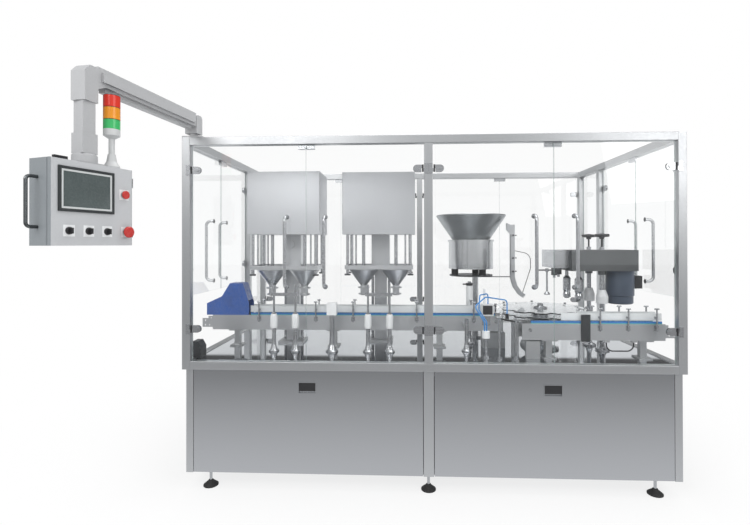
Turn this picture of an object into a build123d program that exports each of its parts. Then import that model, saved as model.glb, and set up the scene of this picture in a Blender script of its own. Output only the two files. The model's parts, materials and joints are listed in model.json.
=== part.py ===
from build123d import *
from math import cos, sin, atan2, degrees, radians, hypot
import os

# Bottle filling line: a glazed guard on a steel cabinet, with an infeed conveyor, two auger
# fillers, a star wheel, a cap feeder, a capping unit and an outfeed conveyor, and an operator
# panel on a swivel arm. Millimetres, +Z up, X along the line, Y towards the back.
# The origin is on the floor under the middle front foot.

os.makedirs("parts", exist_ok=True)

# Overall sizes
GUARD_W = 3000.0
GUARD_D = 1560.0
GUARD_TOP = 2150.0
TABLE_Z = 780.0
FOOT_INSET = 75.0
FOOT_SPREAD = 2700.0
RUN = 0.05          # running fit, radial
GAP = 0.3           # working clearance

# Guard frame
TUBE = 50.0
TUBE_R = 3.0
SILL_RISE = 5.0
SIDE_POST_Y = 1092.0
FRONT = -FOOT_INSET
BACK = FRONT + GUARD_D
RIGHT = GUARD_W / 2
LEFT = -RIGHT
SILL_TOP = TABLE_Z + SILL_RISE
SILL_Z = SILL_TOP - TUBE
TOP_RAIL_Z = GUARD_TOP - TUBE
POST_FRONT_Y = FRONT + SIDE_POST_Y
BAY_X = (RIGHT - TUBE * 1.5)

# Cabinet
PIVOT_R = 3.0
PIVOT_IN = 10.0
CAB_SIDE_IN = 15.0
CAB_FRONT_IN = 25.0
CAB_BOTTOM = 100.0
CAB_POST = 45.0
CAB_MULLION = 63.0
CAB_RAIL = 40.0
SHEET = 2.0
PAN = 20.0
REVEAL = 3.0

# Doors of the guard
GLASS = 8.0
DOOR_CLEAR = 5.0
AXIS_OUT = 1.0
AXIS_IN = 9.0
GLASS_SET = 6.0
GLASS_START = 5.0
MEET_GAP = 4.0
SIDE_LEAF_Z = 1175.0
HINGE_TOP_Z = 1948.0
HINGE_LOW_Z = 981.0
SIDE_HINGE_LOW_Z = 1335.0
HINGE_LEAF_W = 23.0
KNUCKLE_R = 5.0
KNUCKLE_H = 22.0
PIN_R = 2.0
CLAMP_T = 5.0
CLAMP_W = 50.0
CLAMP_H = 44.0
CLAMP_START = 8.0
HANDLE_R = 10.0
HANDLE_LEN = 420.0
HANDLE_MID_Z = 1450.0
HANDLE_OUT = 56.0
HANDLE_EDGE = 115.0
HANDLE_BEND = 32.0
MOUNT_HOLE_R = 4.5

# Conveyors
CHAIN_W = 82.0
CHAIN_T = 5.0
CHAIN_TOP = 1005.0
PLATE_T = 4.0
PLATE_TOP = 1001.0
PLATE_H = 102.0
CONV_W = 110.0
INFEED_Y = 415.0
INFEED_X0 = -1491.0
INFEED_X1 = 530.0
OUTFEED_Y = 130.0
OUTFEED_X0 = 586.0
OUTFEED_X1 = 1455.0
SPROCKET_R = 38.0
SHAFT_R = 10.0

# Bottles and guide rails
BOTTLE_R = 30.0
LANE_SLACK = 3.0
RAIL_T = 8.0
RAIL_LOW = 1020.0
RAIL_H = 45.0

# Fillers
FILLER_X = (-966.0, -320.0)
FILLER_Y = (415.0, 470.0)
HOUSING_W = 500.0
HOUSING_D = 300.0
HOUSING_H = 427.0
HOUSING_Z = 1563.0
DECK_Z = 1322.0
DECK_T = 28.0
DECK_W = 470.0
DECK_D = 280.0
CONE_SPACING = 232.0
CONE_R = 106.0
NOZZLE_R = 22.0
CONE_LOW = 1205.0
NOZZLE_LOW = 1132.0
CONE_WALL = 2.0
AUGER_SHAFT_R = 12.0
AUGER_R = 18.0
COLUMN_W = 132.0
COLUMN_D = 150.0
COLUMN_BEHIND = 17.0

# Pillars in front of the infeed
PILLAR_Y = 235.0
PILLAR_R = 13.0
PILLAR_FOOT_R = 34.0
PILLAR_TOP = 1040.0
SLEEVE_R = 24.0
SLEEVE_Z = (936.0, 1030.0)
LIFT_ROD_R = 7.0
LIFT_BAR_Z = 1150.0

# Star wheel
DIAL_X = 791.0
DIAL_Y = 395.0
DEAD_PLATE_Z = 993.0
DEAD_PLATE_T = 10.0
DEAD_PLATE_R = 325.0
PITCH_R = 262.0
WHEEL_R = 272.0
POCKETS = 12
DISC_T = 8.0
LOW_DISC_Z = 1014.0
TOP_DISC_Z = 1047.0
GUIDE_R0 = 297.0
GUIDE_R1 = 318.0

# Capping unit
CAP_POST = ((1163.0, 500.0), (1186.0, 340.0))
CAP_POST_R = 15.0
CAP_BODY = (960.0, 1396.0, 270.0, 590.0)
CAP_BODY_Z = (1315.0, 1454.0)
CAP_NOSE = (862.0, 960.0, 330.0, 590.0)
PRESS_AT = (822.0, 345.0)
PRESS_BAR_X = 768.0
PRESS_LOW = 1152.0
CAP_SLEEVE_Z = (1095.0, 1185.0)
CAP_SLEEVE_R = 38.0
CAP_HEAD_Z = (1110.0, 1331.0)
SPINDLE_R = 12.0
MOTOR_X = 1330.0
MOTOR_Y = 400.0
MOTOR_R = 90.0
MOTOR_Z = (1088.0, 1315.0)
WHEEL_Z = 1540.0
HANDWHEEL_R = 48.0

# Cap feeder
BOWL_X = 372.0
BOWL_Y = 775.0
RIM_R = 262.0
RIM_Z = 1718.0
BOWL_LOW_R = 150.0
BOWL_LOW_Z = 1540.0
DRIVE_R = 169.0
DRIVE_Z = (1306.0, 1528.0)
FEED_PLATE_Z = 1250.0
FEED_PLATE_T = 10.0
FEED_COLUMN_X = 405.0
FEED_COLUMN_R = 24.0
CHUTE_X = 667.0
CHUTE_Y = 675.0

# Operator panel on its arm
ARM_IN = (63.0, 25.0)
PANEL_REACH = (-115.0, -802.0)
PANEL_TURN = 72.1
ARM_Z = 2253.0
ARM_W = 70.0
ARM_H = 80.0
ARM_BLOCK = 60.0
ARM_HEAD = 72.0
ARM_HEAD_LOW = 128.0
ARM_HEAD_TOP = 31.0
COLUMN_SQ = 58.0
COLLAR_SQ = 70.0
PANEL_W = 380.0
PANEL_D = 125.0
PANEL_Z = (1492.0, 1847.0)
COVER_T = 18.0


def block(x0, x1, y0, y1, z0, z1):
    return Pos((x0 + x1) / 2, (y0 + y1) / 2, (z0 + z1) / 2) * Box(x1 - x0, y1 - y0, z1 - z0)


def post(x, y, z0, z1, r):
    return Pos(x, y, (z0 + z1) / 2) * Cylinder(r, z1 - z0)


def bar_x(x0, x1, y, z, r):
    return Pos((x0 + x1) / 2, y, z) * Rot(0, 90, 0) * Cylinder(r, x1 - x0)


def bar_y(x, y0, y1, z, r):
    return Pos(x, (y0 + y1) / 2, z) * Rot(90, 0, 0) * Cylinder(r, y1 - y0)


def turned(x, y, outline):
    # A body of revolution about a vertical axis, from radius and height pairs.
    profile = make_face(Polyline(*outline, close=True))
    return Pos(x, y, 0) * revolve(Plane.XZ * profile, Axis.Z, 360)


def side_profile(outline, y0, y1):
    # An outline of X and Z pairs, extruded from y0 to y1.
    profile = make_face(Polyline(*outline, close=True))
    return Pos(0, y1, 0) * extrude(Plane.XZ * profile, y1 - y0)


def tube_x(x0, x1, y0, z0, w=TUBE, h=TUBE):
    profile = RectangleRounded(w, h, TUBE_R)
    return Pos(x0, y0 + w / 2, z0 + h / 2) * Rot(0, 90, 0) * Rot(0, 0, 90) * extrude(profile, x1 - x0)


def tube_y(x0, y0, y1, z0, w=TUBE, h=TUBE):
    profile = RectangleRounded(w, h, TUBE_R)
    return Pos(x0 + w / 2, y1, z0 + h / 2) * Rot(90, 0, 0) * extrude(profile, y1 - y0)


def tube_z(x0, y0, z0, z1, w=TUBE, d=TUBE):
    profile = RectangleRounded(w, d, TUBE_R)
    return Pos(x0 + w / 2, y0 + d / 2, z0) * extrude(profile, z1 - z0)


def held_tube(points, r, bend):
    path = FilletPolyline(*points, radius=bend)
    start = Vector(*points[1]) - Vector(*points[0])
    section = Plane(origin=points[0], z_dir=start.normalized()) * Circle(r)
    return sweep(section, path=path)


def mirrored_x(pieces):
    return [mirror(p, about=Plane.YZ) for p in pieces]


def save(name, pieces):
    solids = [s for piece in pieces for s in piece.solids()]
    export_step(Compound(label=name, children=solids), f"parts/{name}.step")


# Cabinet

CAB_X = RIGHT - CAB_SIDE_IN
CAB_FRONT = FRONT + CAB_FRONT_IN
CAB_BACK = BACK - CAB_FRONT_IN
RAIL_FRONT = CAB_FRONT + PAN + REVEAL
RAIL_BACK = CAB_BACK - PAN - REVEAL
FOOT_XS = (-FOOT_SPREAD / 2, 0.0, FOOT_SPREAD / 2)
FOOT_YS = (0.0, GUARD_D - 2 * FOOT_INSET)


def cabinet_frame():
    pieces = []
    for y in (CAB_FRONT, CAB_BACK - CAB_POST):
        pieces.append(tube_z(-CAB_X, y, CAB_BOTTOM, SILL_Z, CAB_POST, CAB_POST))
        pieces.append(tube_z(CAB_X - CAB_POST, y, CAB_BOTTOM, SILL_Z, CAB_POST, CAB_POST))
        pieces.append(tube_z(-CAB_MULLION / 2, y, CAB_BOTTOM, SILL_Z, CAB_MULLION, CAB_POST))
    for z in (CAB_BOTTOM, SILL_Z - CAB_RAIL):
        for y in (RAIL_FRONT, RAIL_BACK - CAB_RAIL):
            for side in (-1, 1):
                ends = sorted((side * CAB_MULLION / 2, side * (CAB_X - CAB_POST)))
                pieces.append(tube_x(ends[0], ends[1], y, z, CAB_RAIL, CAB_RAIL))
        for x in (-CAB_X + REVEAL, -CAB_RAIL / 2, CAB_X - CAB_RAIL - REVEAL):
            pieces.append(tube_y(x, CAB_FRONT + CAB_POST, CAB_BACK - CAB_POST, z, CAB_RAIL, CAB_RAIL))
    # Pivot pins that the front panels tilt on.
    for side in (-1, 1):
        for face, tip in ((CAB_MULLION / 2, PANEL_X0 + PAN / 4), (CAB_X - CAB_POST, PANEL_X1 - PAN / 4)):
            x0, x1 = sorted((side * face, side * tip))
            pieces.append(bar_x(x0, x1, CAB_FRONT + PIVOT_IN, CAB_BOTTOM + REVEAL + PIVOT_IN, PIVOT_R))
    return pieces


def cabinet_panels():
    # Side and back sheets, the floor plate and the mounting plate of the electrics.
    y0, y1 = CAB_FRONT + CAB_POST, CAB_BACK - CAB_POST
    pieces = [block(x, x + REVEAL, y0, y1, CAB_BOTTOM, SILL_Z) for x in (-CAB_X, CAB_X - REVEAL)]
    back_z = (CAB_BOTTOM + REVEAL, SILL_Z - REVEAL)
    for side in (-1, 1):
        ends = sorted((side * (CAB_MULLION / 2 + REVEAL), side * (CAB_X - CAB_POST - REVEAL)))
        pieces.append(block(ends[0], ends[1], RAIL_BACK, RAIL_BACK + SHEET, *back_z))
        floor = sorted((side * CAB_RAIL / 2, side * (CAB_X - CAB_RAIL - REVEAL)))
        inner = (RAIL_FRONT + CAB_RAIL, RAIL_BACK - CAB_RAIL)
        pieces.append(block(floor[0], floor[1], *inner, CAB_BOTTOM, CAB_BOTTOM + SHEET))
    plate_x = (-CAB_X + 260, -CAB_X + 1200)
    plate_y = RAIL_BACK - CAB_RAIL
    pieces.append(block(*plate_x, plate_y - SHEET - 1, plate_y, CAB_BOTTOM + 20, SILL_Z - 20))
    for i in range(5):
        x = plate_x[0] + 60 + i * 170
        pieces.append(block(x, x + 120, plate_y - 123, plate_y - SHEET - 1, CAB_BOTTOM + 220, CAB_BOTTOM + 420))
    return pieces


PANEL_X0 = CAB_MULLION / 2 + REVEAL
PANEL_X1 = CAB_X - CAB_POST - REVEAL
CAB_PANEL_Z = (CAB_BOTTOM + REVEAL, SILL_Z - REVEAL)
LATCH_X = (PANEL_X0 + PANEL_X1) / 2
LATCH_Z = 624.0
LATCH_W = 116.0
LATCH_H = 76.0
LATCH_RIM = 5.0
LATCH_DEEP = 14.0
PADDLE_Y = CAB_FRONT - 1.0


def cabinet_door():
    # Folded sheet pan with a recessed latch cup let into its top.
    z0, z1 = CAB_PANEL_Z
    pan = block(PANEL_X0, PANEL_X1, CAB_FRONT, CAB_FRONT + PAN, z0, z1)
    pan -= block(PANEL_X0 + SHEET, PANEL_X1 - SHEET, CAB_FRONT + SHEET, CAB_FRONT + PAN, z0 + SHEET, z1 - SHEET)
    pan -= bar_x(PANEL_X0 - 1, PANEL_X1 + 1, CAB_FRONT + PIVOT_IN, z0 + PIVOT_IN, PIVOT_R + RUN)
    hole_w, hole_h = LATCH_W - 2 * LATCH_RIM, LATCH_H - 2 * LATCH_RIM
    hole = (LATCH_X - hole_w / 2, LATCH_X + hole_w / 2)
    hole_z = (LATCH_Z - hole_h / 2, LATCH_Z + hole_h / 2)
    pan -= block(*hole, CAB_FRONT - 1, CAB_FRONT + PAN, *hole_z)
    cup = block(LATCH_X - LATCH_W / 2, LATCH_X + LATCH_W / 2, CAB_FRONT - SHEET, CAB_FRONT,
                LATCH_Z - LATCH_H / 2, LATCH_Z + LATCH_H / 2)
    cup += block(*hole, CAB_FRONT, CAB_FRONT + LATCH_DEEP, *hole_z)
    cup -= block(hole[0] + SHEET, hole[1] - SHEET, CAB_FRONT - SHEET, CAB_FRONT + LATCH_DEEP - SHEET,
                 hole_z[0] + SHEET, hole_z[1] - SHEET)
    return [pan, cup]


def latch_paddle():
    # Pulled out at its lower edge, it turns about a pin along its upper edge.
    half = LATCH_W / 2 - LATCH_RIM - SHEET - GAP
    top = LATCH_Z + LATCH_H / 2 - LATCH_RIM - SHEET
    pin_z = top - 5
    paddle = bar_x(LATCH_X - half, LATCH_X + half, CAB_FRONT + 4, pin_z, 3)
    paddle += block(LATCH_X - half, LATCH_X + half, CAB_FRONT + 1, CAB_FRONT + 4, pin_z - 46, pin_z)
    return [paddle]


def table_top():
    x, y0, y1 = RIGHT - TUBE, FRONT + TUBE, BACK - TUBE
    rim = TUBE - SILL_RISE
    top = block(-x, x, y0, y1, TABLE_Z - rim, TABLE_Z)
    top -= block(-x + 6, x - 6, y0 + 6, y1 - 6, TABLE_Z - rim, TABLE_Z - 6)
    return [top]


def levelling_feet():
    pieces = []
    for x in FOOT_XS:
        for y in FOOT_YS:
            pad = [(0, 0), (45, 0), (45, 6), (40, 10), (18, 28), (14, 34), (0, 34)]
            pieces.append(turned(x, y, pad))
            pieces.append(post(x, y, 34, 84, 9))
            nut = extrude(RegularPolygon(17, 6), 16)
            pieces.append(Pos(x, y, 84) * nut)
    return pieces


# Guard

def guard_frame():
    pieces = []
    for x in (LEFT, RIGHT - TUBE):
        for y in (FRONT, BACK - TUBE):
            pieces.append(tube_z(x, y, SILL_Z, GUARD_TOP))
        for z in (SILL_Z, TOP_RAIL_Z):
            pieces.append(tube_y(x, FRONT + TUBE, BACK - TUBE, z))
        pieces.append(tube_z(x, POST_FRONT_Y, SILL_TOP, TOP_RAIL_Z))
    for y in (FRONT, BACK - TUBE):
        for z in (SILL_Z, TOP_RAIL_Z):
            pieces.append(tube_x(LEFT + TUBE, RIGHT - TUBE, y, z))
        pieces.append(tube_z(-TUBE / 2, y, SILL_TOP, TOP_RAIL_Z))
    return pieces


def side_glass():
    # Fixed panes behind the side posts, held by screwed corner clips.
    pieces = []
    y0, y1 = POST_FRONT_Y + TUBE + DOOR_CLEAR, BACK - TUBE - DOOR_CLEAR
    for x, inward in ((LEFT + GLASS_SET, 1), (RIGHT - GLASS_SET - GLASS, -1)):
        pieces.append(block(x, x + GLASS, y0, y1, SILL_TOP + DOOR_CLEAR, TOP_RAIL_Z - DOOR_CLEAR))
        back = x + GLASS if inward > 0 else x - 6
        for z in (SILL_TOP, TOP_RAIL_Z - 30):
            for y in (POST_FRONT_Y + TUBE, BACK - TUBE - 30):
                pieces.append(block(back, back + 6, y, y + 30, z, z + 30))
    return pieces


# Hinged leaves are drawn about their own hinge line, outside face towards -Y, leaf along +X.

def hinge_fixed(z):
    plate = block(-AXIS_IN - 1 - HINGE_LEAF_W, -AXIS_IN - 1, AXIS_OUT - 4, AXIS_OUT, z - 30, z + 30)
    knuckle = block(-AXIS_IN - 1, -3, AXIS_OUT - 4, AXIS_OUT - 1, z - KNUCKLE_H, z)
    knuckle += post(0, 0, z - KNUCKLE_H, z, KNUCKLE_R)
    pin = post(0, 0, z, z + KNUCKLE_H - 4, PIN_R)
    return [plate + knuckle + pin]


def hinge_moving(z):
    front = AXIS_OUT + GLASS_SET
    straight = CLAMP_W - CLAMP_H / 2
    flat = block(CLAMP_START, CLAMP_START + straight, front - CLAMP_T, front, z - CLAMP_H / 2, z + CLAMP_H / 2)
    nose = bar_y(CLAMP_START + straight, front - CLAMP_T, front, z, CLAMP_H / 2)
    button = bar_y(CLAMP_START + straight, front - CLAMP_T - 5, front - CLAMP_T, z, 9)
    knuckle = post(0, 0, z + GAP, z + KNUCKLE_H, KNUCKLE_R)
    knuckle += block(3, CLAMP_START, front - CLAMP_T, front - CLAMP_T + 3, z + GAP, z + KNUCKLE_H)
    knuckle -= post(0, 0, z, z + KNUCKLE_H - 3, PIN_R + RUN)
    back_y = front + GLASS
    back = block(CLAMP_START, CLAMP_START + straight, back_y, back_y + CLAMP_T,
                 z - CLAMP_H / 2, z + CLAMP_H / 2)
    back += bar_y(CLAMP_START + straight, back_y, back_y + CLAMP_T, z, CLAMP_H / 2)
    return [flat + nose + button + knuckle, back]


def pull_handle(x, z_mid, face_y):
    y_bar = face_y - HANDLE_OUT
    zs = (z_mid - HANDLE_LEN / 2, z_mid + HANDLE_LEN / 2)
    rose = 4.0
    points = [(x, face_y - rose, zs[0]), (x, y_bar, zs[0]), (x, y_bar, zs[1]), (x, face_y - rose, zs[1])]
    pieces = [held_tube(points, HANDLE_R, HANDLE_BEND)]
    for z in zs:
        pieces.append(bar_y(x, face_y - rose, face_y, z, 15))
    return pieces


def leaf(width, z0, z1, hinge_zs, with_handle):
    y0 = AXIS_OUT + GLASS_SET
    pieces = [block(GLASS_START, GLASS_START + width, y0, y0 + GLASS, z0, z1)]
    for z in hinge_zs:
        pieces += hinge_moving(z)
    if with_handle:
        pieces += pull_handle(GLASS_START + width - HANDLE_EDGE, HANDLE_MID_Z, y0)
    return pieces


FRONT_LEAF_W = (RIGHT - TUBE * 1.5) / 2 - AXIS_IN - GLASS_START - MEET_GAP / 2
SIDE_LEAF_W = (POST_FRONT_Y - FRONT - TUBE) / 2 - AXIS_IN - GLASS_START - MEET_GAP / 2
LEAF_Z = (SILL_TOP + DOOR_CLEAR, TOP_RAIL_Z - DOOR_CLEAR)
FRONT_HINGES = (HINGE_LOW_Z, HINGE_TOP_Z)
SIDE_HINGES = (SIDE_HINGE_LOW_Z, HINGE_TOP_Z)
AXIS_FRONT = FRONT - AXIS_OUT
AXIS_BACK = BACK + AXIS_OUT

# Each door: node name, hinge line, turn of the outside face, whether it is drawn mirrored.
DOORS = {
    "front_door_1": (LEFT + TUBE + AXIS_IN, AXIS_FRONT, 0, False),
    "front_door_2": (-TUBE / 2 - AXIS_IN, AXIS_FRONT, 0, True),
    "front_door_3": (TUBE / 2 + AXIS_IN, AXIS_FRONT, 0, False),
    "front_door_4": (RIGHT - TUBE - AXIS_IN, AXIS_FRONT, 0, True),
    "left_door_1": (LEFT - AXIS_OUT, FRONT + TUBE + AXIS_IN, -90, True),
    "left_door_2": (LEFT - AXIS_OUT, POST_FRONT_Y - AXIS_IN, -90, False),
    "right_door_1": (RIGHT + AXIS_OUT, FRONT + TUBE + AXIS_IN, 90, False),
    "right_door_2": (RIGHT + AXIS_OUT, POST_FRONT_Y - AXIS_IN, 90, True),
    "back_door_1": (LEFT + TUBE + AXIS_IN, AXIS_BACK, 180, True),
    "back_door_2": (-TUBE / 2 - AXIS_IN, AXIS_BACK, 180, False),
    "back_door_3": (TUBE / 2 + AXIS_IN, AXIS_BACK, 180, True),
    "back_door_4": (RIGHT - TUBE - AXIS_IN, AXIS_BACK, 180, False),
}


def place_door(pieces, x, y, turn, flipped):
    drawn = mirrored_x(pieces) if flipped else pieces
    return [Pos(x, y, 0) * Rot(0, 0, turn) * piece for piece in drawn]


def door(name):
    side = name.startswith(("left", "right"))
    width = SIDE_LEAF_W if side else FRONT_LEAF_W
    z0 = SIDE_LEAF_Z if side else LEAF_Z[0]
    hinges = SIDE_HINGES if side else FRONT_HINGES
    return place_door(leaf(width, z0, LEAF_Z[1], hinges, not name.startswith("back")), *DOORS[name])


def hinge_plates():
    pieces = []
    for name, spot in DOORS.items():
        zs = SIDE_HINGES if name.startswith(("left", "right")) else FRONT_HINGES
        fixed = [piece for z in zs for piece in hinge_fixed(z)]
        pieces += place_door(fixed, *spot)
    # Magnet catches hang from the top rail behind each pair of leaves.
    drop = (TOP_RAIL_Z - 28, TOP_RAIL_Z)
    behind = GLASS_SET + GLASS + 2
    mid_x = (RIGHT - TUBE * 1.5) / 2 + TUBE / 2
    for x in (-mid_x, mid_x):
        pieces.append(block(x - 50, x + 50, FRONT + behind, FRONT + behind + 22, *drop))
        pieces.append(block(x - 50, x + 50, BACK - behind - 22, BACK - behind, *drop))
    mid_y = (FRONT + TUBE + POST_FRONT_Y) / 2
    pieces.append(block(LEFT + behind, LEFT + behind + 22, mid_y - 50, mid_y + 50, *drop))
    pieces.append(block(RIGHT - behind - 22, RIGHT - behind, mid_y - 50, mid_y + 50, *drop))
    return pieces


# Conveyors

def chain_loop(x0, x1, y):
    # Slat chain: a closed band round the drive sprocket and the return shoe.
    mid_z = CHAIN_TOP - CHAIN_T - SPROCKET_R
    length = x1 - x0
    outer = SlotCenterToCenter(length - 2 * (SPROCKET_R + CHAIN_T), 2 * (SPROCKET_R + CHAIN_T))
    inner = SlotCenterToCenter(length - 2 * (SPROCKET_R + CHAIN_T), 2 * SPROCKET_R)
    band = extrude(Plane.XZ * (outer - inner), CHAIN_W)
    return Pos((x0 + x1) / 2, y + CHAIN_W / 2, mid_z) * band


CHAIN_END = 6.0
SHOE_W = CHAIN_W - 12


def conveyor(x0, x1, y, drive_x, shoe_x):
    z0 = PLATE_TOP - PLATE_H
    mid_z = CHAIN_TOP - CHAIN_T - SPROCKET_R
    half = CONV_W / 2
    pieces = []
    for side in (-1, 1):
        ys = sorted((y + side * half, y + side * (half - PLATE_T)))
        plate = block(x0, x1, ys[0], ys[1], z0, PLATE_TOP)
        plate -= bar_y(drive_x, ys[0] - 1, ys[1] + 1, mid_z, SHAFT_R + RUN)
        pieces.append(plate)
    pieces.append(chain_loop(x0 + CHAIN_END, x1 - CHAIN_END, y))
    shoe = bar_y(shoe_x, y - SHOE_W / 2, y + SHOE_W / 2, mid_z, SPROCKET_R - GAP)
    pieces.append(shoe)
    inner = half - PLATE_T
    strip_x = sorted((drive_x + (70 if shoe_x > drive_x else -70), shoe_x + (60 if shoe_x < drive_x else -60)))
    top = CHAIN_TOP - CHAIN_T
    pieces.append(block(*strip_x, y - SHOE_W / 2, y + SHOE_W / 2, top - 10 - GAP, top - GAP))
    spacers = int((x1 - x0 - 200) / 450) + 1
    for i in range(spacers + 1):
        x = x0 + 120 + i * (x1 - x0 - 240) / spacers
        pieces.append(bar_y(x, y - inner, y + inner, mid_z, 8))
    return pieces


INFEED_DRIVE_X = INFEED_X1 - CHAIN_END - CHAIN_T - SPROCKET_R
INFEED_SHOE_X = INFEED_X0 + CHAIN_END + CHAIN_T + SPROCKET_R
OUTFEED_DRIVE_X = OUTFEED_X0 + CHAIN_END + CHAIN_T + SPROCKET_R
OUTFEED_SHOE_X = OUTFEED_X1 - CHAIN_END - CHAIN_T - SPROCKET_R


def conveyor_legs(xs, y):
    pieces = []
    z1 = PLATE_TOP - PLATE_H
    for x in xs:
        pieces.append(block(x - 40, x + 40, y - 50, y + 50, TABLE_Z, TABLE_Z + 8))
        pieces.append(tube_z(x - 20, y - 20, TABLE_Z + 8, z1 - 8, 40, 40))
        pieces.append(block(x - 45, x + 45, y - CONV_W / 2, y + CONV_W / 2, z1 - 8, z1))
    return pieces


def joint_plates(x, y, outward):
    # Slim end plates with four screw holes, where the next conveyor bolts on.
    pieces = []
    z0 = PLATE_TOP - PLATE_H + 16
    xs = sorted((x, x + outward * 75))
    for side in (-1, 1):
        inner = CONV_W / 2 - PLATE_T
        ys = sorted((y + side * inner, y + side * (inner - PLATE_T)))
        base = sorted((x - outward * 40, x + outward * 75))
        plate = block(base[0], base[1], ys[0], ys[1], z0, z0 + 62)
        for dx in (25, 55):
            for z in (z0 + 15, z0 + 47):
                plate -= bar_y(x + outward * dx, ys[0] - 1, ys[1] + 1, z, MOUNT_HOLE_R)
        pieces.append(plate)
    return pieces


def infeed_conveyor():
    pieces = conveyor(INFEED_X0, INFEED_X1, INFEED_Y, INFEED_DRIVE_X, INFEED_SHOE_X)
    pieces += conveyor_legs((-1330, -640, 100), INFEED_Y)
    pieces += joint_plates(INFEED_X0, INFEED_Y, -1)
    # Drive gearbox under the right end.
    pieces.append(block(395, 545, INFEED_Y - 48, INFEED_Y + 48, TABLE_Z, PLATE_TOP - PLATE_H - 12))
    return pieces


def outfeed_conveyor():
    pieces = conveyor(OUTFEED_X0, OUTFEED_X1, OUTFEED_Y, OUTFEED_DRIVE_X, OUTFEED_SHOE_X)
    pieces += conveyor_legs((760, 1341), OUTFEED_Y)
    pieces += joint_plates(OUTFEED_X1, OUTFEED_Y, 1)
    # Geared motor under the left end, and the post beside it.
    motor = bar_y(655, OUTFEED_Y - 20, OUTFEED_Y + 110, 838, 42)
    pieces += [motor, block(612, 698, OUTFEED_Y - 50, OUTFEED_Y - 20, TABLE_Z, 890)]
    pieces.append(block(540, 580, OUTFEED_Y, OUTFEED_Y + 40, TABLE_Z, DEAD_PLATE_Z))
    face = OUTFEED_Y - CONV_W / 2
    pieces.append(block(945, 1001, face - 6, face, PLATE_TOP - 109, PLATE_TOP + 57))
    # Cable looped between two clips under the side plate.
    under = PLATE_TOP - PLATE_H
    for x in (1105, 1270):
        pieces.append(block(x - 14, x + 14, face, face + 30, under - 12, under))
    ends = [(1105, face + 15, under - 12), (1105, face + 15, under - 68), (1270, face + 15, under - 68),
            (1270, face + 15, under - 12)]
    pieces.append(held_tube(ends, 4, 40))
    return pieces


def sprocket(x, y):
    mid_z = CHAIN_TOP - CHAIN_T - SPROCKET_R
    wheel = bar_y(x, y - SHOE_W / 2, y + SHOE_W / 2, mid_z, SPROCKET_R - GAP)
    shaft = bar_y(x, y - CONV_W / 2 - 12, y + CONV_W / 2 + 30, mid_z, SHAFT_R)
    return [wheel + shaft]


LANE = BOTTLE_R + LANE_SLACK


def rail_pair(starts, x1, y, posts_x):
    pieces = []
    for side, x0 in zip((-1, 1), starts):
        ys = sorted((y + side * LANE, y + side * (LANE + RAIL_T)))
        pieces.append(block(x0, x1, ys[0], ys[1], RAIL_LOW, RAIL_LOW + RAIL_H))
        stem_y = y + side * (CONV_W / 2 + 7)
        rail_y = y + side * (LANE + RAIL_T)
        for x in posts_x:
            stem_top = RAIL_LOW + RAIL_H + 25
            pieces.append(post(x, stem_y, PLATE_TOP - 45, stem_top, 5))
            pieces.append(bar_x(x - 13, x + 13, stem_y, stem_top + 5, 5))
            foot = sorted((y + side * CONV_W / 2, stem_y - side * 5))
            pieces.append(block(x - 14, x + 14, foot[0], foot[1], PLATE_TOP - 40, PLATE_TOP - 10))
            link = sorted((rail_y, stem_y - side * 5))
            pieces.append(block(x - 6, x + 6, link[0], link[1], RAIL_LOW + 14, RAIL_LOW + 26))
    return pieces


INFEED_RAIL_X = ((-1225.0, -1225.0), 478.0)
OUTFEED_RAIL_X = ((830.0, 958.0), 1440.0)
INFEED_POSTS_X = (-1160, -760, -500, -60, 330)
OUTFEED_POSTS_X = (1060, 1230, 1400)
INFEED_STRIP_X = ((-1220.0, -1220.0), 474.0)
OUTFEED_STRIP_X = ((640.0, 1040.0), 1435.0)
STRIP_IN = 6.0
STRIP_SPLIT = 4.0
STRIP_H = 17.0


def edge_strips(starts, x1, y):
    # Two-layer plastic strips along the top edges of the side plates.
    pieces = []
    for side, x0 in zip((-1, 1), starts):
        ys = sorted((y + side * CONV_W / 2, y + side * (CONV_W / 2 - STRIP_IN)))
        pieces.append(block(x0, x1, *ys, PLATE_TOP, PLATE_TOP + STRIP_SPLIT))
        pieces.append(block(x0, x1, *ys, PLATE_TOP + STRIP_SPLIT, PLATE_TOP + STRIP_H))
    return pieces


def stop_gate():
    # Actuator with an upright finger on the front of the infeed, ahead of the star wheel.
    face = INFEED_Y - CONV_W / 2
    pieces = [block(388, 442, face - 10, face, PLATE_TOP - 60, PLATE_TOP + 30)]
    pieces.append(block(376, 456, face - 52, face - 10, PLATE_TOP + 9, PLATE_TOP + 89))
    pieces.append(block(384, 448, face - 56, face - 52, PLATE_TOP + 19, PLATE_TOP + 79))
    pieces.append(block(390, 404, face - 40, face - 28, PLATE_TOP + 89, PLATE_TOP + 190))
    return pieces


def guide_rails():
    pieces = rail_pair(*INFEED_RAIL_X, INFEED_Y, INFEED_POSTS_X)
    pieces += rail_pair(*OUTFEED_RAIL_X, OUTFEED_Y, OUTFEED_POSTS_X)
    pieces += edge_strips(*INFEED_STRIP_X, INFEED_Y)
    pieces += edge_strips(*OUTFEED_STRIP_X, OUTFEED_Y)
    return pieces + stop_gate()


def entry_cover():
    # Bent sheet tunnel over the bottle entry.
    outer = [(-1533, PLATE_TOP), (-1533, 1082), (-1426, 1131), (-1369, 1223), (-1276, 1223),
             (-1233, 1082), (-1233, PLATE_TOP)]
    half = CONV_W / 2
    hood = side_profile(outer, INFEED_Y - half, INFEED_Y + half)
    inner = [(-1540, PLATE_TOP - 2), (-1540, 1076), (-1428, 1127), (-1373, 1219), (-1280, 1219),
             (-1230, 1076), (-1230, PLATE_TOP - 2)]
    hood -= side_profile(inner, INFEED_Y - half + 3, INFEED_Y + half - 3)
    return [hood]


# Fillers

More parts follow.
